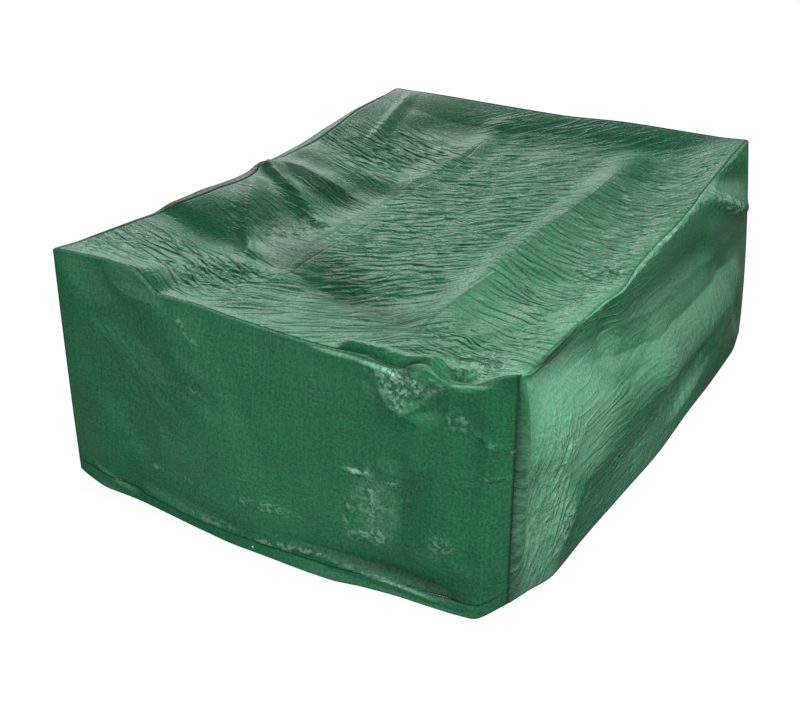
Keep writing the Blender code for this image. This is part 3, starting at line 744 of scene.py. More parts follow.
points, flat, worn_and_lit = side_points(
    front, lowest=0.0, rises=10, turns=0, dice=np.random.default_rng(1), **front_detail)
front_hem = sheet_object("front_hem_strip", points, flat, worn_and_lit, front_cloth)
hole_middle = 0.5 * (Vector(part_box("front_eyelet")[0]) + Vector(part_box("front_eyelet")[1]))
bpy.ops.object.select_all(action="DESELECT")
bpy.ops.mesh.primitive_cylinder_add(vertices=32, radius=EYELET_HOLE, depth=PUNCH_LENGTH,
                                    location=hole_middle, rotation=(math.radians(90.0), 0.0, 0.0))
punch = bpy.context.object
hole = front_hem.modifiers.new("eyelet hole", "BOOLEAN")
hole.operation = "DIFFERENCE"
hole.solver = "EXACT"
hole.object = punch
bpy.ops.object.select_all(action="DESELECT")
bpy.context.view_layer.objects.active = front_hem
bpy.ops.object.modifier_apply(modifier=hole.name)
bpy.data.objects.remove(punch)
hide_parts("front_hem")


# Front eyelet: a small ring of bright pressed aluminium, for a tie cord.
# It is set through a punched hole in the hem and clenched on both sides of it.

metal = Finish(bpy.data.materials.new("bright_metal"), "Principled BSDF", {
    "Base Color": (0.8, 0.8, 0.78, 1.0), "Metallic": 1.0, "Roughness": 0.28})
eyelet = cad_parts["front_eyelet"]
eyelet.data.materials.clear()
eyelet.data.materials.append(metal.material)


# Right panel: 2.78 m long with its hem, sewn to the top, the front and the back.
# Its near end wraps round the corner, and long folds run down from the rim to the hem.

RIGHT_RIM = table(
    Rim,
    (0.02, 0, 1.006, 0.008),
    (0.05, 0, 0.982, 0.01),
    (0.18, 0, 0.976, 0.01),
    (0.28, 0.004, 0.964, 0.014),
    (0.36, 0.012, 0.936, 0.02),
    (0.43, 0.004, 0.956, 0.02),
    (0.52, 0, 0.963, 0.018),
    (0.6, 0, 0.959, 0.016),
    (0.67, 0, 0.971, 0.014),
    (0.79, 0, 0.994, 0.02),
    (0.9, 0, 1.022, 0.016),
    (0.97, 0, 1.042, 0.008),
)
RIGHT_HEM = table(
    Hem,
    (0.055, 0.205, -0.004, 0),
    (0.12, 0.344, 0.042, 0.004),
    (0.22, 0.63, 0.056, 0.008),
    (0.34, 0.965, 0.081, 0.012),
    (0.52, 1.455, 0.113, 0.012),
    (0.63, 1.75, 0.115, 0.008),
    (0.77, 2.14, 0.126, 0),
    (0.89, 2.47, 0.128, -0.006),
)
RIGHT_FOLDS = table(
    Fold,
    (0.032, 0.88, 0.06, 0.1, 0.05, 0.03),
    (0.12, 0.95, 0.9, 0.82, 0.16, -0.03),
    (0.9, 0.82, 1.95, 0.74, 0.2, -0.034),
    (0.3, 0.62, 1.35, 0.5, 0.24, 0.026),
    (1.35, 0.5, 2.4, 0.42, 0.2, 0.034),
    (1.1, 0.18, 1.95, 0.24, 0.13, -0.022),
    (1.55, 0.06, 2.15, 0.3, 0.09, 0.016),
    (2.08, 0.97, 2.7, 0.74, 0.1, 0.024),
    (2.3, 0.98, 2.68, 0.88, 0.1, -0.026),
    (2.2, 0.6, 2.62, 0.12, 0.12, -0.018),
)
RIGHT_CREASES = table(
    Crease,
    (0.065, 0.13, 1, (
        (0.055, 1, 0), (0.06, 0.92, 0.022), (0.07, 0.75, 0.036), (0.09, 0.48, 0.04), (0.12, 0.2, 0.03),
        (0.16, 0.03, 0))),
    (0.12, 0.14, 1, (
        (0.08, 0.97, 0), (0.19, 0.9, -0.018), (0.39, 0.83, -0.026), (0.67, 0.755, -0.032),
        (0.98, 0.66, -0.034), (1.32, 0.59, -0.032), (1.73, 0.55, -0.03), (2.2, 0.54, -0.024),
        (2.6, 0.56, 0))),
    (0.17, 0.32, 1, (
        (0.4, 0.26, 0), (0.6, 0.29, 0.014), (0.77, 0.31, 0.022), (0.98, 0.37, 0.03),
        (1.18, 0.405, 0.034), (1.38, 0.42, 0.034), (1.72, 0.385, 0.032), (2.09, 0.37, 0.028),
        (2.4, 0.37, 0.016), (2.7, 0.37, 0))),
    (0.04, 0.05, 1, (
        (1.95, 1.02, 0), (2.1, 0.98, 0.01), (2.25, 0.9, 0.016), (2.5, 0.79, 0.016), (2.74, 0.72, 0.006))),
    (0.16, 0.05, 1, (
        (0.34, 0.02, 0), (0.4, 0.1, 0.014), (0.46, 0.22, 0.022), (0.52, 0.33, 0.024),
        (0.7, 0.325, 0.016), (0.84, 0.33, 0))),
    (0.03, 0.04, 1, ((0.99, 0.2, 0), (1.21, 0.24, 0.008), (1.56, 0.23, 0.01), (1.74, 0.24, 0))),
    (0.04, 0.025, 1, ((1.1, 0.3, 0), (1.35, 0.31, -0.008), (1.6, 0.3, -0.01), (1.91, 0.29, 0))),
    (0.04, 0.03, 1, (
        (1.4, 0.06, 0), (1.62, 0.12, 0.012), (1.9, 0.16, 0.014), (2.17, 0.21, 0.01), (2.35, 0.3, 0))),
    (0.025, 0.03, 1.1, ((0.08, 0.965, 0), (0.12, 0.945, -0.018), (0.18, 0.915, -0.016), (0.3, 0.885, 0))),
)
RIGHT_CRINKLES = table(
    Crinkles,
    (0.1, 0.8, 1.6, 0.3, 0.4, 330, -40, 18, 0.14, 0.014, 0.0016),
    (0.3, 0.2, 1.7, 0.2, 0.16, 130, 62, 16, 0.16, 0.014, 0.003),
    (0.4, 0.97, 2.7, 1, 0.06, 420, 78, 30, 0.06, 0.011, 0.004),
    (1.6, 0.3, 2.7, 0.3, 0.3, 160, 65, 20, 0.16, 0.016, 0.0028),
    (2.1, 0.95, 2.7, 0.74, 0.08, 160, 20, 60, 0.06, 0.012, 0.0044),
    (0.05, 0.9, 0.08, 0.15, 0.05, 110, 60, 50, 0.05, 0.01, 0.0014),
    (0.2, 0.16, 0.36, 0.62, 0.14, 80, 58, 14, 0.18, 0.016, 0.0044),
)
# Painted shade: darker in the corner seams' grooves, on the strip round the near corner, in the slit under
# the rim, and in bands above and below the long ridge.
RIGHT_PAINTED_SHADE = table(
    Crease,
    (0.008, 0.008, 0.7, ((0.003, 0, 0.6), (0.003, 1.04, 0.6))),
    (0.06, 0.06, 1, ((0.03, 0.02, 0.3), (0.025, 0.6, 0.3), (0.02, 0.95, 0.2))),
    (0.012, 0.012, 0.7, ((2.776, 0, 0.5), (2.776, 1.04, 0.5))),
    (0.022, 0.02, 0.7, ((0.16, 0.99, 0), (0.22, 0.988, 0.95), (0.5, 0.98, 0.95), (0.64, 0.98, 0))),
    (0.1, 0.13, 1, (
        (0.15, 0.92, 0), (0.4, 0.89, 0.24), (1, 0.82, 0.28), (1.7, 0.78, 0.28), (2.4, 0.74, 0.34),
        (2.72, 0.66, 0.3))),
    (0.04, 0.2, 1, (
        (0.4, 0.03, 0.16), (0.5, 0.2, 0.16), (0.66, 0.26, 0.1), (1.1, 0.29, 0), (1.6, 0.28, 0),
        (2.3, 0.25, 0.14), (2.7, 0.26, 0.2))),
)
# Crinkle and crumple patches, whose whitened facets are partly painted glints, and painted sheen over the
# near part and on the ridge.
RIGHT_WEAR_AND_SHEEN = patchwork(
    crinkled=[(1, 0.5, 0.98, 0.8, 0, 0.8)],
    crossed=[
        (1.2, 0.15, 1.2, 0.22, 0, 0.55), (2.2, 0.25, 0.7, 0.35, 0, 0.55),
        (0.3, 0.34, 0.36, 0.52, -6, 1.5), (1.6, 0.97, 1.3, 0.05, 0, 0.5),
    ],
    dusted=[
        (0.48, 0.64, 0.6, 0.34, -22, 0.95), (0.28, 0.3, 0.24, 0.5, -8, 0.95),
        (0.12, 0.6, 0.07, 0.6, -4, 0.5), (1.3, 0.5, 1, 0.15, -4, 0.4), (1.7, 0.965, 1.1, 0.04, 1, 0.35),
        (1.35, 0.13, 0.9, 0.17, 0, 0.4),
    ],
    crumpled=[
        (2.35, 0.86, 0.35, 0.06, -25, 0.9), (1.7, 0.97, 1.1, 0.04, 1, 0.6),
        (0.42, 0.17, 0.14, 0.14, 0, 0.55), (0.24, 0.42, 0.16, 0.5, -6, 0.2),
        (0.09, 0.55, 0.06, 0.6, -2, 0.2),
    ],
)
FAN_CORNER = (2.4, 0.42)

right = Hang(CORNERS["front_right"], CORNERS["back_right"], RIGHT_RIM, RIGHT_HEM, RIGHT_FOLDS)
right_cloth = woven_sheet(
    "woven_sheet_right", crinkle_turn=0.0, cross_turn=62.0, depth=0.45, lee=(-0.003, 0.006),
    fan_corner=FAN_CORNER)
points, flat, worn_and_lit = side_points(
    right, columns=323, lowest=0.0, rises=130, turns=8, trim=CORNER_SEAM, sharp=RIGHT_CREASES,
    small=RIGHT_CRINKLES, wear_and_light=RIGHT_WEAR_AND_SHEEN, painted_shades=RIGHT_PAINTED_SHADE, dust=0.8, dice=np.random.default_rng(2))
right_panel = sheet_object("right_sheet", points, flat, worn_and_lit, right_cloth)
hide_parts("right_panel")


# Back panel: cut from the same sheet and sewn in as the front one is, but hidden in the photo.
# Its turned-up hem is one with it here, with no eyelet, and its folds and crinkles are plain.

BACK_RIM = table(
    Rim,
    (0.09, 0, 1.04, 0.01),
    (0.3, -0.004, 1.044, 0.012),
    (0.5, -0.008, 1.029, 0.014),
    (0.67, -0.006, 1.031, 0.012),
    (0.87, 0, 1.034, 0.01),
)
BACK_HEM = table(
    Hem,
    (0.1, 0.2, 0.03, 0.004),
    (0.3, 0.6, 0.088, 0.008),
    (0.47, 0.95, 0.11, 0.012),
    (0.63, 1.29, 0.092, 0.006),
    (0.8, 1.64, 0.078, 0.012),
    (0.92, 1.89, 0.04, 0.004),
)
BACK_FOLDS = table(
    Fold,
    (0.08, 0.95, 0.6, 0.45, 0.14, -0.02),
    (0.62, 0.9, 0.7, 0.15, 0.12, 0.018),
    (1, 0.85, 1.06, 0.12, 0.13, -0.02),
    (1.36, 0.8, 1.28, 0.1, 0.11, 0.018),
    (1.95, 0.95, 1.52, 0.4, 0.14, -0.022),
)
BACK_CREASES = table(
    Crease,
    (0.06, 0.06, 1.3, ((0.02, 1, 0), (0.3, 0.78, 0.008), (0.55, 0.44, 0))),
    (0.06, 0.06, 1.3, ((2, 1, 0), (1.72, 0.74, 0.008), (1.5, 0.4, 0))),
)
BACK_CRINKLES = table(
    Crinkles,
    (0.1, 0.5, 1.94, 0.5, 0.42, 300, 85, 30, 0.12, 0.016, 0.0016),
    (0.1, 0.98, 1.94, 0.98, 0.05, 160, 85, 25, 0.05, 0.011, 0.0024),
    (0.1, 0.12, 1.94, 0.12, 0.06, 100, 0, 25, 0.08, 0.012, 0.0016),
)
# Painted shade in the corner seams' grooves.
BACK_PAINTED_SHADE = table(
    Crease,
    (0.012, 0.012, 0.7, ((0.004, 0, 0.5), (0.004, 1.04, 0.5))),
    (0.012, 0.012, 0.7, ((2.036, 0, 0.5), (2.036, 1.04, 0.5))),
)
# Crinkle and crumple patches, and a broad patch painted paler in the middle.
BACK_WEAR_AND_SHEEN = patchwork(
    crinkled=[(0.35, 0.7, 0.6, 0.4, -40, 0.5), (1.1, 0.45, 1.2, 0.5, 0, 0.3)],
    crossed=[(1.7, 0.7, 0.6, 0.4, 40, 0.5), (1.02, 0.1, 1, 0.1, 0, 0.4)],
    dusted=[(1.02, 0.6, 0.9, 0.4, 0, 0.2)],
    crumpled=[
        (1.02, 1, 0.9, 0.04, 0, 0.5), (0.6, 0.4, 0.24, 0.08, 30, 0.2), (1.5, 0.55, 0.18, 0.06, -25, 0.2),
    ],
)

back = Hang(CORNERS["back_right"], CORNERS["back_left"], BACK_RIM, BACK_HEM, BACK_FOLDS)
back_cloth = woven_sheet(
    "woven_sheet_back", crinkle_turn=-48.0, cross_turn=46.0, depth=1.0, lee=(0.0, 0.007))
points, flat, worn_and_lit = side_points(
    back, columns=218, lowest=0.0, rises=115, turns=6, trim=0.0, sharp=BACK_CREASES,
    small=BACK_CRINKLES, wear_and_light=BACK_WEAR_AND_SHEEN, painted_shades=BACK_PAINTED_SHADE, dust=0.2, dice=np.random.default_rng(3))
back_panel = sheet_object("back_sheet", points, flat, worn_and_lit, back_cloth)
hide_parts("back_panel")


# Left panel: cut from the same sheet as the right one, and hidden in the photo but for its rim.
# It is sewn in like the others, but along its middle the rim rolls in, so the seam lies on the top.

LEFT_RIM = table(
    Rim,
    (0.07, 0, 1.031, 0.012),
    (0.16, 0, 1.03, 0.02),
    (0.21, 0, 1.026, 0.04),
    (0.27, 0, 1.02, 0.066),
    (0.34, 0, 1.006, 0.076),
    (0.4, 0, 0.992, 0.055),
    (0.46, 0, 0.985, 0.03),
    (0.49, 0.006, 0.992, 0.015),
    (0.53, 0, 0.986, 0.05),
    (0.6, 0.004, 0.999, 0.086),
    (0.68, 0.004, 1.018, 0.086),
    (0.74, 0.002, 1.02, 0.06),
    (0.78, 0, 1.004, 0.03),
    (0.83, 0, 1.014, 0.02),
    (0.95, 0, 1.04, 0.012),
)
LEFT_HEM = table(
    Hem,
    (0.1, 0.28, 0.072, 0.004),
    (0.26, 0.73, 0.112, 0.01),
    (0.44, 1.23, 0.122, 0.012),
    (0.58, 1.6, 0.1, 0.004),
    (0.75, 2.08, 0.104, 0.01),
    (0.9, 2.5, 0.066, 0.006),
)
LEFT_FOLDS = table(
    Fold,
    (0.1, 0.95, 0.74, 0.5, 0.15, -0.024),
    (0.7, 0.85, 0.78, 0.1, 0.13, 0.02),
    (1.36, 0.86, 1.02, 0.16, 0.14, -0.024),
    (1.4, 0.82, 1.76, 0.14, 0.14, 0.022),
    (2.02, 0.86, 2.06, 0.12, 0.12, -0.02),
    (2.68, 0.95, 2.28, 0.36, 0.15, -0.022),
)
LEFT_CREASES = table(
    Crease,
    (0.06, 0.06, 1.3, ((0.04, 1, 0), (0.4, 0.74, 0.008), (0.7, 0.44, 0))),
    (0.06, 0.06, 1.3, ((1.4, 0.98, 0), (1.16, 0.52, 0.008), (1.02, 0.14, 0))),
    (0.06, 0.06, 1.3, ((2.74, 1, 0), (2.48, 0.7, 0.008), (2.26, 0.34, 0))),
)
LEFT_CRINKLES = table(
    Crinkles,
    (0.1, 0.5, 2.68, 0.5, 0.42, 420, 85, 30, 0.12, 0.016, 0.0016),
    (0.1, 0.98, 2.68, 0.98, 0.06, 220, 85, 25, 0.05, 0.011, 0.0024),
    (0.1, 0.12, 2.68, 0.12, 0.06, 140, 0, 25, 0.08, 0.012, 0.0016),
)
# Painted shade under the rim where it rolls in, and in the corner seams' grooves.
LEFT_PAINTED_SHADE = table(
    Crease,
    (0.12, 0.12, 0.6, ((1.4, 1.06, 0), (1.5, 1.06, 0.45), (2.15, 1.08, 0.45), (2.26, 1.08, 0))),
    (0.012, 0.012, 0.7, ((0.004, 0, 0.5), (0.004, 1.04, 0.5))),
    (0.012, 0.012, 0.7, ((2.776, 0, 0.5), (2.776, 1.04, 0.5))),
)
# Crinkle and crumple patches, and a broad patch painted paler in the middle.
LEFT_WEAR_AND_SHEEN = patchwork(
    crinkled=[(0.45, 0.7, 0.7, 0.4, -40, 0.5), (1.4, 0.45, 1.5, 0.5, 0, 0.3)],
    crossed=[(2.3, 0.7, 0.7, 0.4, 40, 0.5), (1.4, 0.1, 1.3, 0.1, 0, 0.4)],
    dusted=[(1.4, 0.6, 1.2, 0.4, 0, 0.2)],
    crumpled=[
        (1.4, 1, 1.3, 0.04, 0, 0.5), (0.8, 0.4, 0.24, 0.08, 30, 0.2), (1.9, 0.55, 0.18, 0.06, -25, 0.2),
    ],
)

left = Hang(CORNERS["back_left"], CORNERS["front_left"], LEFT_RIM, LEFT_HEM, LEFT_FOLDS)
points, flat, worn_and_lit = side_points(
    left, columns=268, lowest=0.0, rises=110, turns=10, trim=CORNER_SEAM, sharp=LEFT_CREASES,
    small=LEFT_CRINKLES, wear_and_light=LEFT_WEAR_AND_SHEEN, painted_shades=LEFT_PAINTED_SHADE, dust=0.2, dice=np.random.default_rng(4))
left_panel = sheet_object("left_sheet", points, flat, worn_and_lit, back_cloth)
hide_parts("left_panel")


# Top panel: 2.04 by 2.78 m, held up along the rim and sagging between the furniture under it.
# Three long creases stay from its packing, with fine crinkles between them.

TOP_LEVEL = 0.925
# How far in each edge holds the top up, and how quickly it falls from there to the level inside.
Slope = namedtuple("Slope", "reach power")
SLOPES = {
    "front": Slope(0.34, 1.8),
    "right": Slope(0.5, 2.0),
    "back": Slope(0.56, 1.5),
    "left": Slope(0.55, 1.7),
}
EDGE_STEP = 0.03
# Near the front its right edge dips, which leaves a slit along the seam.
RIM_GAP_FROM = 0.18
RIM_GAP_TO = 0.62
RIM_GAP_REACH = 0.01
# Painted highlight: the top is painted paler from the least to the most that the cloth faces this way,
# towards the key light.
TOP_SHEEN_FACING = (-0.45, 0.69, 0.57)
TOP_SHEEN_LEAST = 0.4
TOP_SHEEN_MOST = 0.9
# On the top, a table's along and up are x and y, from the middle of the cover.
TOP_FOLDS = table(
    Fold,
    (-0.22, -1.22, -0.27, 1.15, 0.13, 0.016),
    (0.08, -1.1, 0, 1.05, 0.13, -0.01),
    (0.49, -1.18, 0.53, 1.05, 0.15, 0.02),
    (0.78, -0.95, 0.8, 0.95, 0.22, -0.014),
    (-0.66, -0.7, -0.42, 0, 0.3, -0.034),
    (-0.95, 0.02, -0.42, -0.34, 0.08, 0.02),
    (-0.88, 0.3, -0.3, 0.24, 0.16, 0.02),
    (-0.89, -0.2, -0.5, -0.78, 0.1, 0.018),
    (-0.6, -1.22, -0.5, -0.85, 0.22, 0.018),
    (-0.15, -0.98, 0.3, -0.8, 0.22, -0.02),
    (0.34, -1.33, 0.8, -1.31, 0.06, 0.024),
    (0.6, -0.98, 0.92, -1.22, 0.14, 0.014),
    (-0.6, 1.02, 0.75, 1.14, 0.18, -0.014),
    (0.94, -0.3, 0.62, -0.42, 0.12, -0.014),
)
TOP_CREASES = table(
    Crease,
    (0.055, 0.03, 1, (
        (-0.24, -1.22, 0.002), (-0.26, -0.9, 0.006), (-0.28, -0.3, 0.008), (-0.27, 0.3, 0.008),
        (-0.27, 0.8, 0.006), (-0.27, 1.05, 0))),
    (0.025, 0.025, 1, (
        (0.1, -0.8, 0), (0.08, -0.5, 0.004), (0.06, -0.21, 0.005), (0, 0.4, 0.004), (-0.02, 0.62, 0))),
    (0.11, 0.06, 1, (
        (0.49, -1.18, 0), (0.48, -0.66, 0.012), (0.49, -0.12, 0.014), (0.52, 0.38, 0.012),
        (0.53, 0.9, 0))),
    (0.22, 0.08, 1.1, (
        (-0.92, -0.7, 0), (-0.8, -0.77, -0.01), (-0.59, -0.79, -0.016), (-0.4, -0.84, -0.02),
        (-0.18, -0.86, -0.026), (0.05, -0.92, -0.028), (0.28, -1, -0.024), (0.45, -1.1, -0.01),
        (0.55, -1.14, 0))),
    (0.022, 0.04, 1.1, (
        (-0.93, -0.12, 0), (-0.8, -0.36, 0.006), (-0.7, -0.52, 0.012), (-0.6, -0.65, 0.014),
        (-0.5, -0.78, 0.014), (-0.45, -0.84, 0))),
    (0.022, 0.045, 1, (
        (-1, 0.05, 0), (-0.88, -0.03, 0.016), (-0.75, -0.11, 0.02), (-0.61, -0.19, 0.02),
        (-0.5, -0.27, 0.014), (-0.37, -0.39, 0))),
    (0.24, 0.11, 1, (
        (-1, 0.09, 0.016), (-0.83, 0.1, 0.03), (-0.56, 0.04, 0.028), (-0.42, 0, 0.014),
        (-0.31, -0.02, 0))),
    (0.016, 0.03, 1, ((-0.55, -0.3, 0), (-0.47, -0.4, 0.012), (-0.4, -0.49, 0))),
    (0.016, 0.03, 1, ((-0.52, -0.4, 0), (-0.46, -0.47, 0.01), (-0.4, -0.54, 0))),
    (0.016, 0.03, 1, ((-0.58, -0.44, 0), (-0.51, -0.5, 0.008), (-0.45, -0.57, 0))),
    (0.14, 0.14, 1.3, (
        (-0.94, 1.2, -0.004), (-0.6, 1.16, -0.01), (-0.22, 1.14, -0.012), (0, 1.2, -0.012),
        (0.3, 1.22, -0.012), (0.58, 1.2, -0.012), (0.85, 1.3, -0.004))),
    (0.022, 0.07, 1, (
        (-0.75, 0.58, 0), (-0.79, 0.75, 0.01), (-0.83, 0.95, 0.016), (-0.88, 1.2, 0.016),
        (-0.91, 1.36, 0.004))),
    (0.02, 0.02, 1, (
        (0.34, -1.372, 0), (0.42, -1.368, -0.01), (0.55, -1.364, -0.016), (0.64, -1.368, -0.012),
        (0.69, -1.375, 0))),
    (0.018, 0.018, 1, (
        (0.72, -1.372, 0), (0.8, -1.366, -0.014), (0.87, -1.368, -0.01), (0.94, -1.375, 0))),
    (0.12, 0.05, 1.1, (
        (0.56, -1.34, 0), (0.62, -1.24, 0.008), (0.7, -1.08, 0.01), (0.8, -0.76, 0.008),
        (0.88, -0.5, 0))),
)
TOP_CRINKLES = table(
    Crinkles,
    (-0.12, -1, -0.12, 1.05, 0.16, 420, 28, 9, 0.2, 0.014, 0.0016),
    (0.27, -0.95, 0.27, 1.1, 0.24, 700, 26, 10, 0.2, 0.014, 0.0017),
    (0.62, -0.7, 0.68, 0.95, 0.16, 420, -18, 14, 0.14, 0.013, 0.0018),
    (-0.6, 0.3, -0.55, 0.9, 0.3, 240, -5, 10, 0.2, 0.015, 0.0026),
    (-0.7, -1.05, -0.3, -1.05, 0.2, 260, -15, 14, 0.14, 0.014, 0.0022),
    (-0.2, -1.1, 0.75, -1.15, 0.18, 220, 20, 20, 0.12, 0.014, 0.0012),
    (0.88, -1.2, 0.92, 1.2, 0.09, 420, 5, 25, 0.07, 0.012, 0.003),
    (-0.7, -0.6, -0.4, -0.2, 0.2, 120, 60, 30, 0.1, 0.014, 0.0018),
    (-0.6, 1.2, 0.9, 1.2, 0.16, 180, 25, 20, 0.14, 0.015, 0.001),
)
# Painted shade: the slopes at the left, the hollow behind the front, the wedge, the bands behind the front
# rim and the slit along the right rim are painted darker.
TOP_PAINTED_SHADE = table(
    Crease,
    (0.24, 0.22, 0.7, (
        (-1, -0.7, 0.08), (-0.86, -0.58, 0.15), (-0.7, -0.52, 0.2), (-0.58, -0.52, 0.18),
        (-0.46, -0.56, 0.06))),
    (0.11, 0.16, 0.8, ((-0.97, -0.22, 0.14), (-0.8, -0.28, 0.16), (-0.64, -0.36, 0.12))),
    (0.06, 0.08, 0.8, ((-1.02, -0.84, 0), (-1.02, -0.76, 0.36), (-1.02, -0.12, 0.36), (-1, -0.04, 0))),
    (0.13, 0.23, 0.9, (
        (-0.34, -0.66, 0.16), (-0.18, -0.72, 0.38), (0, -0.82, 0.42), (0.22, -0.95, 0.44),
        (0.42, -1.08, 0.36), (0.54, -1.16, 0))),
    (0.22, 0.2, 1, ((-0.52, -0.58, 0.04), (-0.28, -0.64, 0.1), (-0.05, -0.6, 0.1), (0.15, -0.6, 0))),
    (0.02, 0.11, 0.5, (
        (-0.96, 0.07, 0.2), (-0.83, 0.09, 0.36), (-0.56, 0.03, 0.42), (-0.42, -0.01, 0.34),
        (-0.33, -0.02, 0))),
    (0.016, 0.016, 0.8, ((0.24, -1.374, 0), (0.42, -1.372, 0.5), (0.6, -1.37, 0.55), (0.69, -1.375, 0))),
    (0.014, 0.014, 0.8, ((0.72, -1.374, 0), (0.8, -1.37, 0.5), (0.88, -1.37, 0.45), (0.94, -1.375, 0))),
    (0.03, 0.016, 0.7, (
        (1.022, -1.24, 0), (1.022, -1.14, 0.95), (1.022, -0.92, 0.95), (1.022, -0.78, 0))),
)
# Where the painted highlight is taken off the top again.
TOP_SHEEN_CUT = table(
    Crease,
    (0.34, 0.32, 0.8, ((-0.6, -0.62, 0.4), (-0.24, -0.66, 0.7), (0.15, -0.9, 0.7), (0.6, -1.14, 0.4))),
)
# Crinkle and crumple patches, whose whitened facets are partly painted glints, and painted sheen on the right
# strip and along the left ridge.
TOP_WEAR_AND_SHEEN = patchwork(
    crinkled=[
        (0.12, 0.05, 0.5, 1.15, 0, 1), (0.1, -1.1, 0.9, 0.35, 0, 0.5), (0.9, 0, 0.16, 1.5, 0, 0.7),
        (0.2, 1.15, 0.9, 0.3, 0, 0.2),
    ],
    crossed=[
        (0.72, 0, 0.34, 1.4, 0, 0.8), (0.12, 0.05, 0.5, 1.1, 0, 0.3), (-0.55, 0.6, 0.5, 0.5, 0, 0.8),
        (-0.6, -1.05, 0.5, 0.35, 0, 0.6), (0.78, -1.12, 0.34, 0.34, 0, 0.7),
        (-0.5, -0.3, 0.5, 0.6, 0, 0.2),
    ],
    crumpled=[
        (-0.9, -1.15, 0.16, 0.25, 0, 0.5), (-0.44, -0.42, 0.14, 0.16, 0, 0.5),
        (0.93, -0.1, 0.07, 1.1, 0, 0.5), (0.8, -1.25, 0.2, 0.14, 0, 0.5),
    ],
    dusted=[(0.72, -0.4, 0.5, 1.4, 0, 0.35), (-0.2, -0.3, 0.1, 1.3, 2, 0.3)],
)
# A packing fold runs from low to high, from front to back, at a distance from the left edge.
FoldLine = namedtuple("FoldLine", "at lean low high half_width height")
TOP_LINES = table(
    FoldLine,
    (0.775, -0.006, 0.3, 2.45, 0.008, -0.0025),
    (1.165, -0.082, 0.55, 2.1, 0.008, -0.0025),
    (1.195, -0.082, 0.5, 2.15, 0.007, 0.0018),
    (1.51, 0.019, 0.2, 2.3, 0.01, 0.003),
)


def fall(distance, slope):
    """How much of the rim's height is left at a distance in from it."""
    return np.maximum(0.0, 1.0 - distance / slope.reach) ** slope.power


def top_points(columns, rows, dice):
    """The places of the top's points, row by row, with their flat places, crinkle and crumple patches, and
    painted shade and highlight.
    """
    share_x = shares_across(WIDTH, columns, SEAM)[None, :]
    share_y = shares_across(DEPTH, rows, SEAM)[:, None]
    tuck = np.maximum(tucks_across(share_x.size)[None, :], tucks_across(share_y.size)[:, None])
    rim = {
        "front": front.seam(share_x),
        "right": right.seam(share_y),
        "back": back.seam(1.0 - share_x),
        "left": left.seam(1.0 - share_y),
    }
    one = np.zeros((1, 1))
    corner = {
        ("front", "left"): front.seam(one),
        ("front", "right"): front.seam(one + 1.0),
        ("back", "right"): back.seam(one),
        ("back", "left"): back.seam(one + 1.0),
    }
    plain = {"front": 1.0 - share_y, "back": share_y, "left": 1.0 - share_x, "right": share_x}
    distance = {"front": share_y * DEPTH, "back": (1.0 - share_y) * DEPTH,
                "left": share_x * WIDTH, "right": (1.0 - share_x) * WIDTH}
    steep = {name: fall(distance[name], SLOPES[name]) for name in distance}
    point = sum(plain[name][..., None] * rim[name] for name in rim)
    point = point - sum((plain[a] * plain[b])[..., None] * corner[a, b] for a, b in corner)
    height = TOP_LEVEL + sum(steep[name] * (rim[name][..., 2] - TOP_LEVEL) for name in rim)
    height = height - sum(steep[a] * steep[b] * (corner[a, b][..., 2] - TOP_LEVEL) for a, b in corner)
    edge_x = np.minimum(distance["left"], distance["right"])
    edge_y = np.minimum(distance["front"], distance["back"])
    edge = np.minimum(edge_x, edge_y)
    inside = np.minimum(1.0, edge / EDGE_STEP)
    x, y = point[..., 0], point[..., 1]
    relief = soft_folds(x, y, TOP_FOLDS) + creases(x, y, TOP_CREASES) + crinkles(x, y, TOP_CRINKLES, dice)
    opening = np.clip((share_y * DEPTH - RIM_GAP_FROM) / (RIM_GAP_TO - RIM_GAP_FROM), 0.0, 1.0)
    gap = curl(distance["right"] - SEAM, EDGE_CURL + RIM_GAP_REACH) * np.sin(np.pi * opening)
    height = height + inside * relief - curl(edge - SEAM, EDGE_CURL) - gap - tuck
    point[..., 2] = height
    flat = np.stack(np.broadcast_arrays(share_x * WIDTH, share_y * DEPTH), axis=-1)
    worn_and_lit = {name: patches(x, y, rows) for name, rows in TOP_WEAR_AND_SHEEN.items()}
    # Painted shade along the listed lines, and painted highlight where the cloth faces the key light, but not
    # where shade is painted or the highlight is taken off.
    worn_and_lit["painted_shade"] = creases(x, y, TOP_PAINTED_SHADE)
    facing_sheen = dusted(point, TOP_SHEEN_FACING, TOP_SHEEN_LEAST, TOP_SHEEN_MOST)
    worn_and_lit["dusted"] = np.maximum(worn_and_lit["dusted"], facing_sheen) * (1.0 - worn_and_lit["painted_shade"])
    worn_and_lit["dusted"] *= 1.0 - creases(x, y, TOP_SHEEN_CUT)
    return point, flat, worn_and_lit


points, flat, worn_and_lit = top_points(columns=140, rows=300, dice=np.random.default_rng(5))
top_cloth = woven_sheet(
    "woven_sheet_top", crinkle_turn=34.0, cross_turn=-16.0, depth=1.4, lee=(-0.006, 0.009),
    fold_lines=TOP_LINES)
top_panel = sheet_object("top_sheet", points, flat, worn_and_lit, top_cloth)
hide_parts("top_panel")


# Floor, light and camera: a pale studio floor and a pale sky with a brighter backdrop behind the cover.
# A low sun from behind at the left is the key light, with soft panels in front and over the right side.
# The camera stands at the photo's angle.

FLOOR_SIZE = 120.0
FLOOR_DROP = 0.001
FLOOR_GLOW = 0.92
# The sky is dimmer as a light than it is to the camera. The backdrop and the window are brighter parts of it.
SKY = 0.16
SKY_SEEN = 0.98
BACKDROP = 0.3
BACKDROP_WAY = (0.05, 1.0, 0.0)
WINDOW = 0.15
WINDOW_WAY = (0.48, 0.87, 0.12)

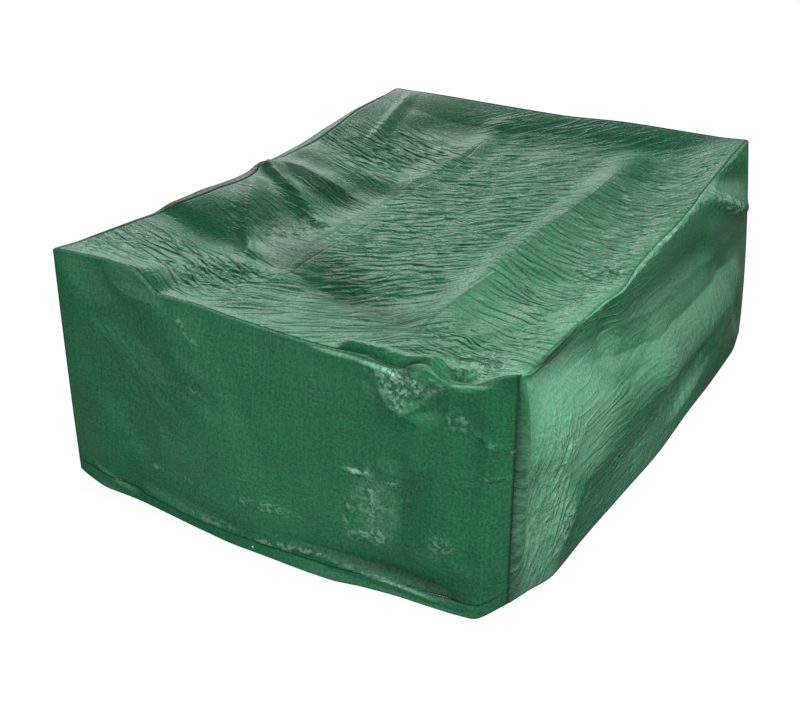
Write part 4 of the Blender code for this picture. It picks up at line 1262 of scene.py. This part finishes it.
floor_finish = Finish(bpy.data.materials.new("pale_floor"), "Principled BSDF", {
    "Base Color": (0.16, 0.16, 0.16, 1.0), "Roughness": 0.9, "Specular IOR Level": 0.1,
    "Emission Strength": 1.0})
glow = FLOOR_GLOW * floor_finish.node("ShaderNodeLightPath", {}, {})
floor_finish.feed("Emission Color", floor_finish.vector("SCALE", {0: (1.0, 1.0, 1.0), "Scale": glow}))
bpy.ops.object.select_all(action="DESELECT")
bpy.ops.mesh.primitive_plane_add(size=FLOOR_SIZE, location=(0.0, 0.0, -FLOOR_DROP))
floor = bpy.context.object
floor.name = "floor"
floor.data.materials.append(floor_finish.material)

world = bpy.data.worlds.new("studio")
bpy.context.scene.world = world
studio = Finish(world, "Background", {"Color": (1.0, 1.0, 1.0, 1.0)})
way = studio.node("ShaderNodeTexCoord", {}, {})
behind = studio.vector("DOT_PRODUCT", {0: way, 1: BACKDROP_WAY}, "Value")
low_down = studio.ramp(studio.part(way, "Z"), 0.55, 0.4)
window = studio.vector("DOT_PRODUCT", {0: way, 1: WINDOW_WAY}, "Value")
backdrop = studio.ramp(behind, 0.0, 0.4) * low_down + WINDOW * studio.ramp(window, 0.8, 0.92)
seen = studio.node("ShaderNodeLightPath", {}, {})
studio.feed("Strength", SKY + BACKDROP * backdrop + seen * (SKY_SEEN - SKY - BACKDROP * backdrop))


def soft_light(name, kind, toward, size, power, mirrored):
    """A soft studio light: a distant one of a spread in degrees, or a near panel of a size in metres."""
    light = bpy.data.lights.new(name, kind)
    light.energy = power
    if kind == "SUN":
        light.angle = math.radians(size)
    else:
        light.size = size
    item = bpy.data.objects.new(name, light)
    bpy.context.scene.collection.objects.link(item)
    item.rotation_euler = Vector(toward).to_track_quat("-Z", "Y").to_euler()
    item.visible_glossy = mirrored
    item.visible_camera = False
    return item


soft_light("key_light", "SUN", toward=(0.49, -0.75, -0.44), size=12.0, power=3.3, mirrored=False)
soft_light("rim_light", "SUN", toward=(0.51, -0.79, -0.34), size=24.0, power=0.3, mirrored=True)
fill_light = soft_light("fill_light", "AREA", toward=(0.0, 1.0, 0.03), size=2.6, power=68.0, mirrored=False)
fill_light.location = (0.0, -4.3, 0.4)
fill_light.data.shape = "RECTANGLE"
fill_light.data.size_y = 0.7
side_light = soft_light("side_light", "AREA", toward=(-1.9, 1.4, -2.4), size=1.4, power=142.0, mirrored=False)
side_light.location = (3.0, -1.4, 2.9)

CAMERA_PLACE = (2.36, -4.551, 2.93)
CAMERA_DIP = 28.08
CAMERA_TURN = 29.47
camera_data = bpy.data.cameras.new("camera")
camera_data.sensor_width = 36.0
camera_data.lens = 54.0
camera = bpy.data.objects.new("camera", camera_data)
bpy.context.scene.collection.objects.link(camera)
camera.location = CAMERA_PLACE
camera.rotation_euler = (math.radians(90.0 - CAMERA_DIP), 0.0, math.radians(CAMERA_TURN))
bpy.context.scene.camera = camera
bpy.context.scene.view_settings.view_transform = "Standard"
